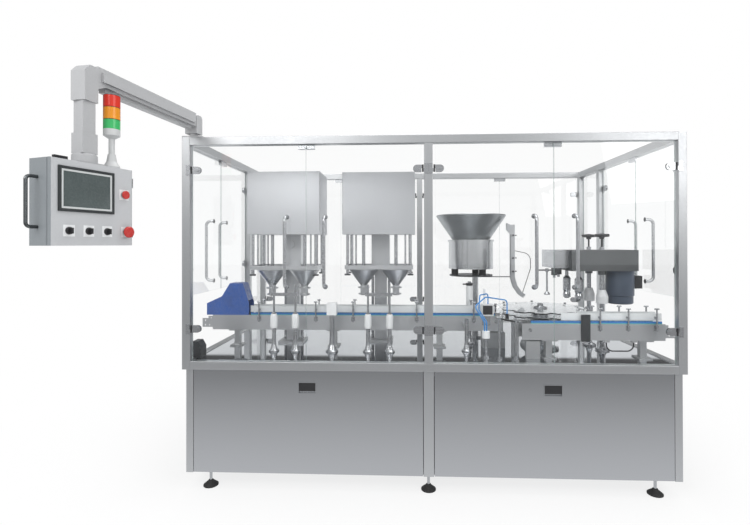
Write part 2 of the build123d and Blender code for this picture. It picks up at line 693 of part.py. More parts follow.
def filler_housings():
    # Folded sheet boxes open at the bottom, with a base plate and two auger motors inside.
    pieces = []
    for x, y in zip(FILLER_X, FILLER_Y):
        x0, x1 = x - HOUSING_W / 2, x + HOUSING_W / 2
        y0, y1 = y - HOUSING_D / 2, y + HOUSING_D / 2
        shell = block(x0, x1, y0, y1, HOUSING_Z, HOUSING_Z + HOUSING_H)
        shell = fillet(shell.edges().filter_by(Axis.Z), 5)
        shell -= block(x0 + 3, x1 - 3, y0 + 3, y1 - 3, HOUSING_Z, HOUSING_Z + HOUSING_H - 3)
        pieces.append(shell)
        base = block(x0 + 3, x1 - 3, y0 + 3, y1 - 3, HOUSING_Z, HOUSING_Z + 12)
        for side in (-1, 1):
            ax = x + side * CONE_SPACING / 2
            base -= post(ax, y, HOUSING_Z - 1, HOUSING_Z + 13, AUGER_SHAFT_R + 4)
            box = block(ax - 55, ax + 55, y - 55, y + 55, HOUSING_Z + 12, HOUSING_Z + 102)
            box -= post(ax, y, HOUSING_Z + 11, HOUSING_Z + 60, AUGER_SHAFT_R + RUN)
            pieces += [box, post(ax, y, HOUSING_Z + 102, HOUSING_Z + 300, 52)]
        pieces.append(base)
    return pieces


def filler_stands():
    pieces = []
    for x, y in zip(FILLER_X, FILLER_Y):
        back = y + HOUSING_D / 2
        column_y = back - COLUMN_BEHIND
        pieces.append(block(x - 90, x + 90, column_y - 80, column_y + 100, TABLE_Z, TABLE_Z + 15))
        low = tube_z(x - 45, column_y - 20, TABLE_Z + 15, DECK_Z, 90, 90)
        pieces.append(low)
        for side in (-1, 1):
            pieces.append(post(x + side * 62, column_y + 25, TABLE_Z + 15, DECK_Z, 10))
        head = block(x - COLUMN_W / 2, x + COLUMN_W / 2, column_y - 35, column_y + COLUMN_D - 35,
                     DECK_Z, HOUSING_Z)
        head += bar_y(x - 8, column_y - 47, column_y - 35, DECK_Z + 175, 28)
        pieces.append(head)
        deck = block(x - DECK_W / 2, x + DECK_W / 2, y - DECK_D / 2, y + DECK_D / 2, DECK_Z, DECK_Z + DECK_T)
        deck -= block(x - DECK_W / 2 + 8, x + DECK_W / 2 - 8, y - DECK_D / 2 + 8, y + DECK_D / 2 - 8,
                      DECK_Z + 6, DECK_Z + DECK_T + 1)
        for side in (-1, 1):
            deck -= post(x + side * CONE_SPACING / 2, y, DECK_Z - 1, DECK_Z + 7, CONE_R - 10)
        deck -= block(x - COLUMN_W / 2, x + COLUMN_W / 2, column_y - 35, back + 40,
                      DECK_Z - 1, DECK_Z + DECK_T + 1)
        pieces.append(deck)
        for dx in (-1, 1):
            for dy in (-1, 1):
                # Toggle clamp under each corner of the deck.
                cx, cy = x + dx * (DECK_W / 2 - 18), y + dy * (DECK_D / 2 - 18)
                pieces.append(block(cx - 9, cx + 9, cy - 7, cy + 7, DECK_Z - 30, DECK_Z))
                pieces.append(bar_x(cx - 20, cx + 20, cy, DECK_Z - 36, 6))
                for shift in (0, 34):
                    rx = x + dx * (DECK_W / 2 - 18 - shift)
                    ry = y + dy * (DECK_D / 2 - 22)
                    pieces.append(post(rx, ry, DECK_Z + 6, HOUSING_Z, 6 if shift else 10))
    return pieces


def hoppers():
    pieces = []
    for x, y in zip(FILLER_X, FILLER_Y):
        for side in (-1, 1):
            outline = [(CONE_R, DECK_Z), (CONE_R, DECK_Z - 8), (NOZZLE_R + CONE_WALL, CONE_LOW),
                       (NOZZLE_R + CONE_WALL, CONE_LOW - 12), (NOZZLE_R + 20, CONE_LOW - 14),
                       (NOZZLE_R + 20, CONE_LOW - 22), (NOZZLE_R + CONE_WALL, CONE_LOW - 24),
                       (NOZZLE_R + CONE_WALL, NOZZLE_LOW + 16), (NOZZLE_R + 16, NOZZLE_LOW + 14),
                       (NOZZLE_R + 16, NOZZLE_LOW + 6), (NOZZLE_R + CONE_WALL, NOZZLE_LOW + 4),
                       (NOZZLE_R, NOZZLE_LOW), (NOZZLE_R, CONE_LOW),
                       (CONE_R - 3, DECK_Z - 8), (CONE_R - 3, DECK_Z)]
            pieces.append(turned(x + side * CONE_SPACING / 2, y, outline))
    return pieces


AUGER_TOP = HOUSING_Z + 55


def auger(x, y):
    shaft = post(x, y, NOZZLE_LOW + 6, AUGER_TOP, AUGER_SHAFT_R)
    for i in range(5):
        z = NOZZLE_LOW + 12 + i * 14
        outline = [(AUGER_SHAFT_R - 1, z), (AUGER_R, z + 3), (AUGER_R, z + 5), (AUGER_SHAFT_R - 1, z + 8)]
        shaft += turned(x, y, outline)
    return [shaft]


# Pillars in front of the infeed, with sliding gauge bars

PILLAR_PAIRS = ((-1020.0, -875.0), (-387.0, -243.0))
SENSOR_PILLAR_X = -628.0
SLEEVE_PILLAR = (324.0, 516.0)
TALL_SLEEVE_Z = (1058.0, 1195.0)
CLAMP_PILLAR = (270.0, 273.0)


def flared_pillar(x, y, top):
    outline = [(0, TABLE_Z), (PILLAR_FOOT_R, TABLE_Z), (PILLAR_FOOT_R, TABLE_Z + 6),
               (PILLAR_FOOT_R - 10, TABLE_Z + 16), (PILLAR_R + 2, TABLE_Z + 44), (PILLAR_R, TABLE_Z + 70),
               (PILLAR_R, top), (LIFT_ROD_R + GAP, top), (LIFT_ROD_R + GAP, TABLE_Z + 90), (0, TABLE_Z + 90)]
    return turned(x, y, outline)


def pillars():
    pieces = []
    for pair in PILLAR_PAIRS:
        for x in pair:
            pieces.append(flared_pillar(x, PILLAR_Y, PILLAR_TOP))
            z0, z1 = SLEEVE_Z
            sleeve = [(PILLAR_R + GAP, z0), (SLEEVE_R - 3, z0), (SLEEVE_R, z0 + 12), (SLEEVE_R, z1 - 20),
                      (SLEEVE_R - 5, z1), (PILLAR_R + GAP, z1)]
            pieces.append(turned(x, PILLAR_Y, sleeve))
    x = SENSOR_PILLAR_X
    outline = [(0, TABLE_Z), (42, TABLE_Z), (42, TABLE_Z + 6), (30, TABLE_Z + 16), (18, TABLE_Z + 46),
               (16, TABLE_Z + 80), (16, 1025), (0, 1025)]
    pieces.append(turned(x, PILLAR_Y, outline))
    pieces.append(block(x - 32, x + 32, PILLAR_Y - 26, PILLAR_Y + 26, 1025, 1105))
    # Tall pillar behind the infeed with a white sleeve and a clamp lever.
    x, y = SLEEVE_PILLAR
    z0, z1 = TALL_SLEEVE_Z
    pieces.append(flared_pillar(x, y, z1 + 30))
    pieces.append(turned(x, y, [(PILLAR_R + GAP, z0), (SLEEVE_R, z0), (SLEEVE_R, z1), (PILLAR_R + GAP, z1)]))
    clamp = post(x, y, z1 + 2, z1 + 20, SLEEVE_R) - post(x, y, z1, z1 + 22, PILLAR_R + RUN)
    lever = bar_x(x - SLEEVE_R - 24, x - SLEEVE_R + 4, y, z1 + 11, 5)
    pieces.append(clamp + lever)
    # Short pillar clamped to the front of the infeed.
    x, y = CLAMP_PILLAR
    pieces.append(flared_pillar(x, y, PLATE_TOP - 6))
    arm = block(x - 15, x + 15, y, INFEED_Y - CONV_W / 2, PLATE_TOP - 62, PLATE_TOP - 40)
    pieces.append(arm - post(x, y, PLATE_TOP - 63, PLATE_TOP - 39, PILLAR_R + RUN))
    return pieces


def lift_bar(pair):
    pieces = []
    for x in pair:
        pieces.append(post(x, PILLAR_Y, TABLE_Z + 170, LIFT_BAR_Z + 76, LIFT_ROD_R))
    bar = block(pair[0] - 18, pair[1] + 18, PILLAR_Y - 11, PILLAR_Y + 11, LIFT_BAR_Z, LIFT_BAR_Z + 20)
    for x in pair:
        bar -= post(x, PILLAR_Y, LIFT_BAR_Z - 1, LIFT_BAR_Z + 21, LIFT_ROD_R)
    pieces.append(bar)
    return pieces


# Star wheel and its table

def conveyor_clear(x0, x1, y):
    return block(x0 - 3, x1 + 3, y - CONV_W / 2 - 14, y + CONV_W / 2 + 14, DEAD_PLATE_Z - 5, CHAIN_TOP + 5)


def arc_band(r0, r1, start, end, z0, z1):
    # A flat ring sector between two angles, in degrees from +X.
    def point(r, a):
        return (r * cos(radians(a)), r * sin(radians(a)))
    middle = (start + end) / 2
    outer = ThreePointArc(point(r1, start), point(r1, middle), point(r1, end))
    inner = ThreePointArc(point(r0, end), point(r0, middle), point(r0, start))
    edges = [outer, Line(point(r1, end), point(r0, end)), inner, Line(point(r0, start), point(r1, start))]
    return Pos(DIAL_X, DIAL_Y, z0) * extrude(make_face(edges), z1 - z0)


GUIDE_START = -42.0
GUIDE_END = 162.0
GUIDE_POST_ANGLES = (-32, -4, 40, 85, 130, 156)


def dial_base():
    plate = post(DIAL_X, DIAL_Y, DEAD_PLATE_Z, DEAD_PLATE_Z + DEAD_PLATE_T, DEAD_PLATE_R)
    plate -= conveyor_clear(INFEED_X0, INFEED_X1, INFEED_Y)
    plate -= conveyor_clear(OUTFEED_X0, OUTFEED_X1, OUTFEED_Y)
    plate -= post(DIAL_X, DIAL_Y, DEAD_PLATE_Z - 1, DEAD_PLATE_Z + DEAD_PLATE_T + 1, 22)
    pedestal = turned(DIAL_X, DIAL_Y, [(16, TABLE_Z), (120, TABLE_Z), (120, TABLE_Z + 12), (70, TABLE_Z + 30),
                                       (70, DEAD_PLATE_Z - 30), (110, DEAD_PLATE_Z - 12),
                                       (110, DEAD_PLATE_Z), (16, DEAD_PLATE_Z)])
    pieces = [plate, pedestal]
    for z in (LOW_DISC_Z, TOP_DISC_Z):
        pieces.append(arc_band(GUIDE_R0, GUIDE_R1, GUIDE_START, GUIDE_END, z, z + DISC_T))
    mid_r = (GUIDE_R0 + GUIDE_R1) / 2
    base_top = DEAD_PLATE_Z + DEAD_PLATE_T
    for angle in GUIDE_POST_ANGLES:
        x, y = DIAL_X + mid_r * cos(radians(angle)), DIAL_Y + mid_r * sin(radians(angle))
        pieces.append(post(x, y, base_top, LOW_DISC_Z, 6))
        pieces.append(post(x, y, LOW_DISC_Z + DISC_T, TOP_DISC_Z, 6))
        pieces.append(post(x, y, TOP_DISC_Z + DISC_T, TOP_DISC_Z + DISC_T + 12, 9))
    return pieces


def star_wheel():
    def disc(z0, z1):
        plate = post(DIAL_X, DIAL_Y, z0, z1, WHEEL_R)
        for i in range(POCKETS):
            a = radians(360 / POCKETS * i)
            plate -= post(DIAL_X + (PITCH_R + 4) * cos(a), DIAL_Y + (PITCH_R + 4) * sin(a), z0 - 1, z1 + 1,
                          BOTTLE_R + 1)
        return plate
    low = disc(LOW_DISC_Z, LOW_DISC_Z + DISC_T)
    top = disc(TOP_DISC_Z, TOP_DISC_Z + DISC_T)
    low_z, top_z = LOW_DISC_Z + DISC_T, TOP_DISC_Z
    shaft = post(DIAL_X, DIAL_Y, TABLE_Z + 20, LOW_DISC_Z - 8, 16 - RUN)
    hub = post(DIAL_X, DIAL_Y, LOW_DISC_Z - 8, LOW_DISC_Z, 60)
    spacer = post(DIAL_X, DIAL_Y, low_z, top_z, 50)
    knob = turned(DIAL_X, DIAL_Y, [(0, top_z + DISC_T), (46, top_z + DISC_T), (46, top_z + DISC_T + 8),
                                   (20, top_z + DISC_T + 14), (20, top_z + DISC_T + 30), (0, top_z + DISC_T + 34)])
    return [low, top, shaft + hub, spacer, knob]


# Capping unit

def capper_posts():
    pieces = []
    for x, y in CAP_POST:
        pieces.append(turned(x, y, [(0, TABLE_Z), (45, TABLE_Z), (45, TABLE_Z + 10), (24, TABLE_Z + 20),
                                    (CAP_POST_R, TABLE_Z + 50), (CAP_POST_R, CAP_BODY_Z[1] + 20),
                                    (0, CAP_BODY_Z[1] + 20)]))
        z0, z1 = CAP_SLEEVE_Z
        pieces.append(turned(x, y, [(CAP_POST_R + GAP, z0), (CAP_SLEEVE_R, z0), (CAP_SLEEVE_R, z1 - 42),
                                    (CAP_SLEEVE_R - 14, z1), (CAP_POST_R + GAP, z1)]))
    return pieces


HEAD_ANGLES = (30, 0)
HEADS = [(DIAL_X + PITCH_R * cos(radians(a)), DIAL_Y + PITCH_R * sin(radians(a))) for a in HEAD_ANGLES]


def capper_housing():
    # Sheet housing with a plate nose. The two lift posts pass through bushes in it.
    z0, z1 = CAP_BODY_Z
    shell = block(*CAP_BODY, z0, z1)
    shell = fillet(shell.edges().filter_by(Axis.Z), 6)
    shell -= block(CAP_BODY[0] + 3, CAP_BODY[1] - 3, CAP_BODY[2] + 3, CAP_BODY[3] - 3, z0 + 12, z1 - 3)
    nose = block(*CAP_NOSE, z0 + 16, z1)
    for x, y in CAP_POST:
        shell -= post(x, y, z0 - 1, z1 + 1, CAP_POST_R + 12)
    for x, y in HEADS:
        shell -= post(x, y, z0 - 1, z0 + 13, SPINDLE_R + RUN)
    pieces = [shell, nose]
    for x, y in CAP_POST:
        bush = [(CAP_POST_R + RUN, z0 - 28), (CAP_POST_R + 9, z0 - 28), (CAP_POST_R + 12, z0),
                (CAP_POST_R + 12, z1), (CAP_POST_R + RUN, z1)]
        pieces.append(turned(x, y, bush))
    # Overhung bar with a press foot, and the brackets under the nose.
    x, y = PRESS_AT
    nose_low, bar_z = z0 + 16, z0 + 3
    bar = bar_x(PRESS_BAR_X, CAP_NOSE[0] + 8, y, bar_z, 5)
    pieces += [bar, block(CAP_NOSE[0] + 8, CAP_NOSE[0] + 40, y - 14, y + 14, bar_z - 16, nose_low)]
    foot = [(0, PRESS_LOW), (20, PRESS_LOW), (20, PRESS_LOW + 6), (9, PRESS_LOW + 20), (6, PRESS_LOW + 24),
            (6, bar_z - 13), (11, bar_z - 10), (11, bar_z + 10), (0, bar_z + 13)]
    pieces.append(turned(x, y, foot) - bar_x(x - 12, x + 12, y, bar_z, 5))
    for bx, by, drop in ((905, 400, 46), (915, 520, 60)):
        pieces.append(block(bx, bx + 34, by, by + 30, nose_low - drop, nose_low))
        pieces.append(post(bx + 17, by + 15, nose_low - drop - 18, nose_low - drop, 9))
    return pieces


def capping_head(x, y):
    low, high = CAP_HEAD_Z
    outline = [(0, low), (16, low), (20, low + 8), (26, low + 8), (26, low + 30), (22, low + 44),
               (27, low + 60), (27, low + 140), (20, low + 150), (SPINDLE_R, low + 160), (SPINDLE_R, high - 8), (0, high - 8)]
    return [turned(x, y, outline)]


def capper_motor():
    z0, z1 = MOTOR_Z
    outline = [(0, z0), (MOTOR_R - 14, z0), (MOTOR_R - 6, z0 + 6), (MOTOR_R - 6, z0 + 52), (MOTOR_R, z0 + 58),
               (MOTOR_R, z1 - 22), (MOTOR_R + 2, z1 - 22), (MOTOR_R + 2, z1), (0, z1)]
    pieces = [turned(MOTOR_X, MOTOR_Y, outline)]
    box_x = MOTOR_X + MOTOR_R
    terminal = block(box_x - 25, box_x + 40, MOTOR_Y - 45, MOTOR_Y + 45, z0 + 105, z0 + 190)
    pieces.append(terminal - post(MOTOR_X, MOTOR_Y, z0 + 100, z0 + 195, MOTOR_R))
    return pieces


def handwheel(x, y):
    rim = [(HANDWHEEL_R - 14, WHEEL_Z + 8), (HANDWHEEL_R - 8, WHEEL_Z + 2), (HANDWHEEL_R - 2, WHEEL_Z + 4),
           (HANDWHEEL_R, WHEEL_Z + 12), (HANDWHEEL_R - 2, WHEEL_Z + 20), (HANDWHEEL_R - 8, WHEEL_Z + 22),
           (HANDWHEEL_R - 14, WHEEL_Z + 16)]
    hub = [(0, WHEEL_Z - 12), (14, WHEEL_Z - 12), (18, WHEEL_Z), (HANDWHEEL_R - 10, WHEEL_Z + 8),
           (HANDWHEEL_R - 10, WHEEL_Z + 16), (16, WHEEL_Z + 24), (0, WHEEL_Z + 26)]
    return [turned(x, y, rim) + turned(x, y, hub) + post(x, y, CAP_BODY_Z[1] + 20 + GAP, WHEEL_Z - 12, 6)]


# Cap feeder

def feeder_stand():
    pieces = [post(FEED_COLUMN_X, BOWL_Y, TABLE_Z + 14, FEED_PLATE_Z, FEED_COLUMN_R)]
    pieces.append(post(FEED_COLUMN_X, BOWL_Y, TABLE_Z, TABLE_Z + 14, 75))
    pieces.append(post(BOWL_X, BOWL_Y, FEED_PLATE_Z, FEED_PLATE_Z + FEED_PLATE_T, DRIVE_R - 5))
    for i in range(3):
        a = radians(-90 + 120 * i + 35)
        x, y = BOWL_X + 125 * cos(a), BOWL_Y + 125 * sin(a)
        pieces.append(post(x, y, FEED_PLATE_Z + FEED_PLATE_T, DRIVE_Z[0], 26))
    z0, z1 = DRIVE_Z
    outline = [(0, z0), (DRIVE_R, z0), (DRIVE_R, z1 - 14), (DRIVE_R + 8, z1 - 14), (DRIVE_R + 8, z1), (0, z1)]
    pieces.append(turned(BOWL_X, BOWL_Y, outline))
    # Arm out to the chute.
    pieces.append(block(BOWL_X + 68, CHUTE_X + 15, CHUTE_Y + 20, CHUTE_Y + 32, FEED_PLATE_Z - 6, FEED_PLATE_Z))
    return pieces


def bowl():
    # Conical bowl with a rolled rim, a centre cone and a climbing ledge.
    z0 = DRIVE_Z[1] + GAP
    wall = 2.5
    outline = [(0, z0), (BOWL_LOW_R - 10, z0), (BOWL_LOW_R, BOWL_LOW_Z), (RIM_R, RIM_Z - 12), (RIM_R + 4, RIM_Z - 6),
               (RIM_R, RIM_Z), (RIM_R - 5, RIM_Z - 6), (BOWL_LOW_R - 3, BOWL_LOW_Z + wall + 2),
               (BOWL_LOW_R - 20, BOWL_LOW_Z + 4), (0, BOWL_LOW_Z + 26)]
    return [turned(BOWL_X, BOWL_Y, outline)]


def cap_chute():
    # U channel that drops beside the bowl and bends down onto the star wheel.
    y = CHUTE_Y
    points = [(CHUTE_X, y, 1640), (CHUTE_X, y, 1245), (CHUTE_X + 18, y, 1180), (CHUTE_X + 52, y, 1130),
              (CHUTE_X + 84, y, 1104)]
    path = FilletPolyline(*points, radius=40)
    section = Plane(origin=points[0], z_dir=(0, 0, -1)) * (Rectangle(30, 40) - Pos(3, 0) * Rectangle(30, 32))
    channel = sweep(section, path=path, transition=Transition.ROUND)
    pieces = [channel]
    lead = [(CHUTE_X - 42, 1652), (CHUTE_X - 15, 1638), (CHUTE_X - 15, 1570), (CHUTE_X - 42, 1600)]
    pieces.append(side_profile(lead, y - 20, y + 20))
    # Clamp screws of the cap stops, and the held sensor wire.
    for z in (1560, 1390, 1290):
        pieces.append(bar_y(CHUTE_X, y - 36, y - 20, z, 7))
        pieces.append(bar_x(CHUTE_X + 15, CHUTE_X + 32, y, z, 4))
    ends = [(CHUTE_X + 15, y, 1445), (CHUTE_X + 135, y, 1420), (CHUTE_X + 135, y, 1310), (CHUTE_X + 76, y, 1130)]
    wire = held_tube(ends, 2.5, 60)
    return [channel - wire, wire] + pieces[1:]


def air_manifold():
    x, y = 371.0, 121.0
    pieces = [post(x, y, TABLE_Z + 8, 900, 12), post(x, y, TABLE_Z, TABLE_Z + 8, 30), post(x, y, 900, 944, 25)]
    # Front guide rods on the table beside the star wheel.
    for gx, gy in ((447.0, 78.0), (554.0, 104.0)):
        pieces.append(post(gx, gy, TABLE_Z, TABLE_Z + 8, 20))
        pieces.append(post(gx, gy, TABLE_Z + 8, 1032, 7))
    # Air tubes held between the manifold, a fitting on the dead plate and the stop gate.
    fx, fy = 530.0, 240.0
    fitting_top = DEAD_PLATE_Z + DEAD_PLATE_T + 33
    pieces.append(post(fx, fy, DEAD_PLATE_Z + DEAD_PLATE_T, fitting_top, 12))
    to_fitting = [(x - 9, y, 944), (x - 9, y, 1000), (305, 150, 1095), (380, 185, 1152), (fx, fy, 1125),
                  (fx, fy, fitting_top)]
    gate_top = PLATE_TOP + 89
    to_gate = [(x + 6, y + 7, 944), (x + 6, y + 7, 1000), (335, 170, 1070), (350, 225, 1160), (420, 318, 1160),
               (420, 318, gate_top)]
    pieces += [held_tube(to_fitting, 4, 25), held_tube(to_gate, 4, 25)]
    return pieces


# Operator panel

ARM_PIVOT = (LEFT + ARM_IN[0], FRONT + ARM_IN[1])
PANEL_AT = (ARM_PIVOT[0] + PANEL_REACH[0], ARM_PIVOT[1] + PANEL_REACH[1])


def hmi_arm():
    # Drawn along +X from its pivot, then turned to point at the panel.
    x0, y0 = ARM_PIVOT
    length = hypot(*PANEL_REACH)
    turn = degrees(atan2(PANEL_REACH[1], PANEL_REACH[0]))
    half, head = ARM_BLOCK / 2, ARM_HEAD / 2
    z0, z1 = ARM_Z - ARM_H / 2, ARM_Z + ARM_H / 2
    knuckle = block(-half, half, -ARM_W / 2 - 4, ARM_W / 2 + 4, GUARD_TOP + 22, z1 - 8)
    knuckle = fillet(knuckle.edges().filter_by(Axis.Y).group_by(Axis.Z)[-1], 20)
    pieces = [knuckle]
    pieces.append(block(half, length - head, -ARM_W / 2, ARM_W / 2, z0, z1))
    pieces.append(block(half + 20, length - head - 60, -ARM_W / 4, ARM_W / 4, z0 - 18, z0))
    low, top = ARM_Z - ARM_HEAD_LOW, ARM_Z + ARM_HEAD_TOP
    outline = [(length - head, low), (length + head, low), (length + head, top - 30), (length + 8, top),
               (length - head, top)]
    pieces.append(side_profile(outline, -head, head))
    gusset = [(length - head, z0), (length - head - 44, z0), (length - head, z0 - 22)]
    pieces.append(side_profile(gusset, -ARM_W / 2, ARM_W / 2))
    # Cable duct along the back of the beam.
    pieces.append(block(half + 20, length - head - 20, ARM_W / 2, ARM_W / 2 + 12, z0 + 16, z1 - 22))
    return [Pos(x0, y0, 0) * Rot(0, 0, turn) * piece for piece in pieces]


def arm_foot():
    # Square base plate bolted on the guard's corner, with the swivel pin's flange.
    x, y = ARM_PIVOT
    plate = block(LEFT, LEFT + 125, FRONT, FRONT + TUBE, GUARD_TOP, GUARD_TOP + 8)
    return [plate, post(x, y, GUARD_TOP + 8, GUARD_TOP + 22 - GAP, 24)]


def junction_box():
    # Small box with a sloping lid on the left sill, half over the table.
    edge = LEFT + TUBE
    outline = [(edge - 29, SILL_TOP), (edge, SILL_TOP), (edge, TABLE_Z), (edge + 27, TABLE_Z), (edge + 27, 850),
               (edge + 6, 886), (edge - 29, 886)]
    return [side_profile(outline, CAB_FRONT + 70, CAB_FRONT + 150)]


def in_panel(pieces):
    return [Pos(PANEL_AT[0], PANEL_AT[1], 0) * Rot(0, 0, PANEL_TURN) * piece for piece in pieces]


PANEL_FACE = -PANEL_D / 2
PANEL_LEFT = -PANEL_W / 2
SCREEN = (31.0, 281.0, 1633.0, 1819.0)
BUTTON_U = 334.0
BUTTON_Z = 1726.0
KNOB_U = (77.0, 163.0, 249.0)
STOP_U = 344.0
ROW_Z = 1554.0
LEGEND = 48.0
LEGEND_HOLE_R = 16.3
BEZEL = 12.0
INNER_BEZEL = 8.0


def hmi_box():
    z0, z1 = PANEL_Z
    half = PANEL_W / 2
    body = block(-half, half, PANEL_FACE + COVER_T + 2, PANEL_D / 2, z0, z1)
    body = fillet(body.edges().filter_by(Axis.Z), 5)
    cover = block(-half, half, PANEL_FACE, PANEL_FACE + COVER_T, z0, z1)
    cover = fillet(cover.edges().filter_by(Axis.Z), 5)
    seal = block(-half + 8, half - 8, PANEL_FACE + COVER_T, PANEL_FACE + COVER_T + 2, z0 + 8, z1 - 8)
    pieces = [body, cover, seal]
    column_low = z1 + 47
    pieces.append(block(-60, 60, -50, 50, z1, z1 + 7))
    pieces.append(turned(0, 0, [(0, z1 + 7), (50, z1 + 7), (50, z1 + 40), (40, column_low), (0, column_low)]))
    collar, square = COLLAR_SQ / 2, COLUMN_SQ / 2
    collar_top = column_low + 90
    pieces.append(block(-collar, collar, -collar, collar, column_low, collar_top))
    pieces.append(block(-square, square, -square, square, collar_top, ARM_Z - ARM_HEAD_LOW - GAP))
    # Grab handle on the side, and two hinges of the cover.
    y_mid = 10.0
    out = PANEL_LEFT - 44
    ends = [(PANEL_LEFT, y_mid, 1568), (out, y_mid, 1568), (out, y_mid, 1770), (PANEL_LEFT, y_mid, 1770)]
    pieces.append(held_tube(ends, 7, 16))
    for z in (z0 + 60, z1 - 60):
        pieces.append(block(half, half + 8, PANEL_FACE + 6, PANEL_FACE + COVER_T + 16, z - 22, z + 22))
    # Clamp lever of the swivel.
    pieces.append(block(-150, -95, -30, -14, z1, z1 + 18))
    return in_panel(pieces)


def legend_plates():
    # Blank square plates behind the knobs and buttons.
    pieces = []
    for u, z in [(u, ROW_Z) for u in KNOB_U + (STOP_U,)] + [(BUTTON_U, BUTTON_Z)]:
        x = PANEL_LEFT + u
        plate = block(x - LEGEND / 2, x + LEGEND / 2, PANEL_FACE - 1, PANEL_FACE, z - LEGEND / 2, z + LEGEND / 2)
        pieces.append(plate - bar_y(x, PANEL_FACE - 2, PANEL_FACE + 1, z, LEGEND_HOLE_R))
    return in_panel(pieces)


def hmi_screen():
    u0, u1, z0, z1 = SCREEN
    x0, x1 = PANEL_LEFT + u0, PANEL_LEFT + u1
    def layer(inset, out, back):
        return block(x0 + inset, x1 - inset, PANEL_FACE - out, PANEL_FACE - back, z0 + inset, z1 - inset)

    frame = layer(0, 6, 0) - layer(BEZEL, 7, 2)
    inner = layer(BEZEL, 5, 2) - layer(BEZEL + INNER_BEZEL, 6, 1)
    return in_panel([frame, inner, layer(BEZEL + INNER_BEZEL, 4, 2)])


def facing(u, z, outline):
    # A turned piece whose axis points out of the panel's face. Heights run outwards.
    profile = make_face(Polyline(*outline, close=True))
    piece = revolve(Plane.XZ * profile, Axis.Z, 360)
    return Pos(PANEL_LEFT + u, PANEL_FACE, z) * Rot(90, 0, 0) * piece


def selector_knob(u):
    body = facing(u, ROW_Z, [(0, GAP), (15, GAP), (15, 8), (12, 10), (0, 10)])
    x = PANEL_LEFT + u
    grip = block(x - 4, x + 4, PANEL_FACE - 24, PANEL_FACE - 10, ROW_Z - 12, ROW_Z + 12)
    return in_panel([body + grip])


def start_button():
    return in_panel([facing(BUTTON_U, BUTTON_Z, [(0, 4.3), (11, 4.3), (11, 10.5), (19, 10.5), (19, 15),
                                                 (17, 17), (0, 17)])])


def stop_button():
    return in_panel([facing(STOP_U, ROW_Z, [(0, 5.8), (8, 5.8), (8, 14), (26, 18), (26, 24), (20, 30), (0, 33)])])


def button_bodies():
    pieces = [facing(BUTTON_U, BUTTON_Z, [(11 + RUN, 0), (16, 0), (16, 3), (15, 6), (11 + RUN, 6)])]
    pieces.append(facing(STOP_U, ROW_Z, [(8 + RUN, 0), (15, 0), (15, 5), (13, 7), (8 + RUN, 7)]))
    return in_panel(pieces)


LAMP_U = 304.0
LAMP_V = -22.0
LAMP_R = 35.0


def stack_light():
    # Base, neck, silver body and three lenses, each with a dark seam ring.
    z1 = PANEL_Z[1]
    x, y = PANEL_LEFT + LAMP_U, LAMP_V
    base = [(0, z1), (34, z1), (34, z1 + 8), (22, z1 + 30), (16, z1 + 66), (0, z1 + 66)]
    pieces = [turned(x, y, base), post(x, y, z1 + 66, z1 + 136, 13)]
    body = [(0, z1 + 136), (13, z1 + 136), (LAMP_R, z1 + 150), (LAMP_R, z1 + 179), (0, z1 + 179)]
    pieces.append(turned(x, y, body))
    heights = (179.0, 225.0, 281.0, 336.0)
    for low, high in zip(heights[:-1], heights[1:]):
        pieces.append(post(x, y, z1 + low, z1 + high - 3, LAMP_R))
        pieces.append(post(x, y, z1 + high - 3, z1 + high, LAMP_R - 2))
    return in_panel(pieces)


save("cabinet_frame", cabinet_frame())
save("cabinet_panels", cabinet_panels())
save("cabinet_door_left", mirrored_x(cabinet_door()))
save("cabinet_door_right", cabinet_door())
save("door_latch_left", mirrored_x(latch_paddle()))
save("door_latch_right", latch_paddle())
save("table_top", table_top())
save("levelling_feet", levelling_feet())
save("guard_frame", guard_frame() + arm_foot() + junction_box())
save("side_glass", side_glass())
save("hinge_plates", hinge_plates())
for door_name in DOORS:
    save(door_name, door(door_name))
save("infeed_conveyor", infeed_conveyor())
save("outfeed_conveyor", outfeed_conveyor())
save("infeed_sprocket", sprocket(INFEED_DRIVE_X, INFEED_Y))
save("outfeed_sprocket", sprocket(OUTFEED_DRIVE_X, OUTFEED_Y))
save("guide_rails", guide_rails() + entry_cover())
save("filler_housings", filler_housings())
save("filler_stands", filler_stands())
save("hoppers", hoppers())
AUGER_AT = [(x + side * CONE_SPACING / 2, y) for x, y in zip(FILLER_X, FILLER_Y) for side in (-1, 1)]
for number, spot in enumerate(AUGER_AT, 1):
    save(f"auger_{number}", auger(*spot))
save("pillars", pillars())
for number, pair in enumerate(PILLAR_PAIRS, 1):
    save(f"lift_bar_{number}", lift_bar(pair))
save("dial_base", dial_base())
save("star_wheel", star_wheel())
save("capper_posts", capper_posts())
save("capper_housing", capper_housing())
save("capper_motor", capper_motor())
for number, spot in enumerate(HEADS, 1):
    save(f"capping_head_{number}", capping_head(*spot))
for number, spot in enumerate(CAP_POST, 1):
    save(f"handwheel_{number}", handwheel(*spot))
save("feeder_stand", feeder_stand())
save("feeder_bowl", bowl())
save("cap_chute", cap_chute())
save("air_manifold", air_manifold())
save("hmi_arm", hmi_arm())
save("hmi_box", hmi_box() + button_bodies() + legend_plates())
save("hmi_screen", hmi_screen())
for number, place in enumerate(KNOB_U, 1):
    save(f"selector_knob_{number}", selector_knob(place))
save("start_button", start_button())
save("stop_button", stop_button())
save("stack_light", stack_light())
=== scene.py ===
# %% [markdown]
# # A bottle filling line behind glass
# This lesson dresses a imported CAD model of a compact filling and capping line. The steel, glass and
# moving parts come from the CAD frame and stay where they are. Blender adds their finishes, the
# colours of single faces such as lamp lenses and glass edges, and the light that shows them.

# %% Load the frame
import bpy
import bmesh
import json
import math
from mathutils import Matrix, Vector

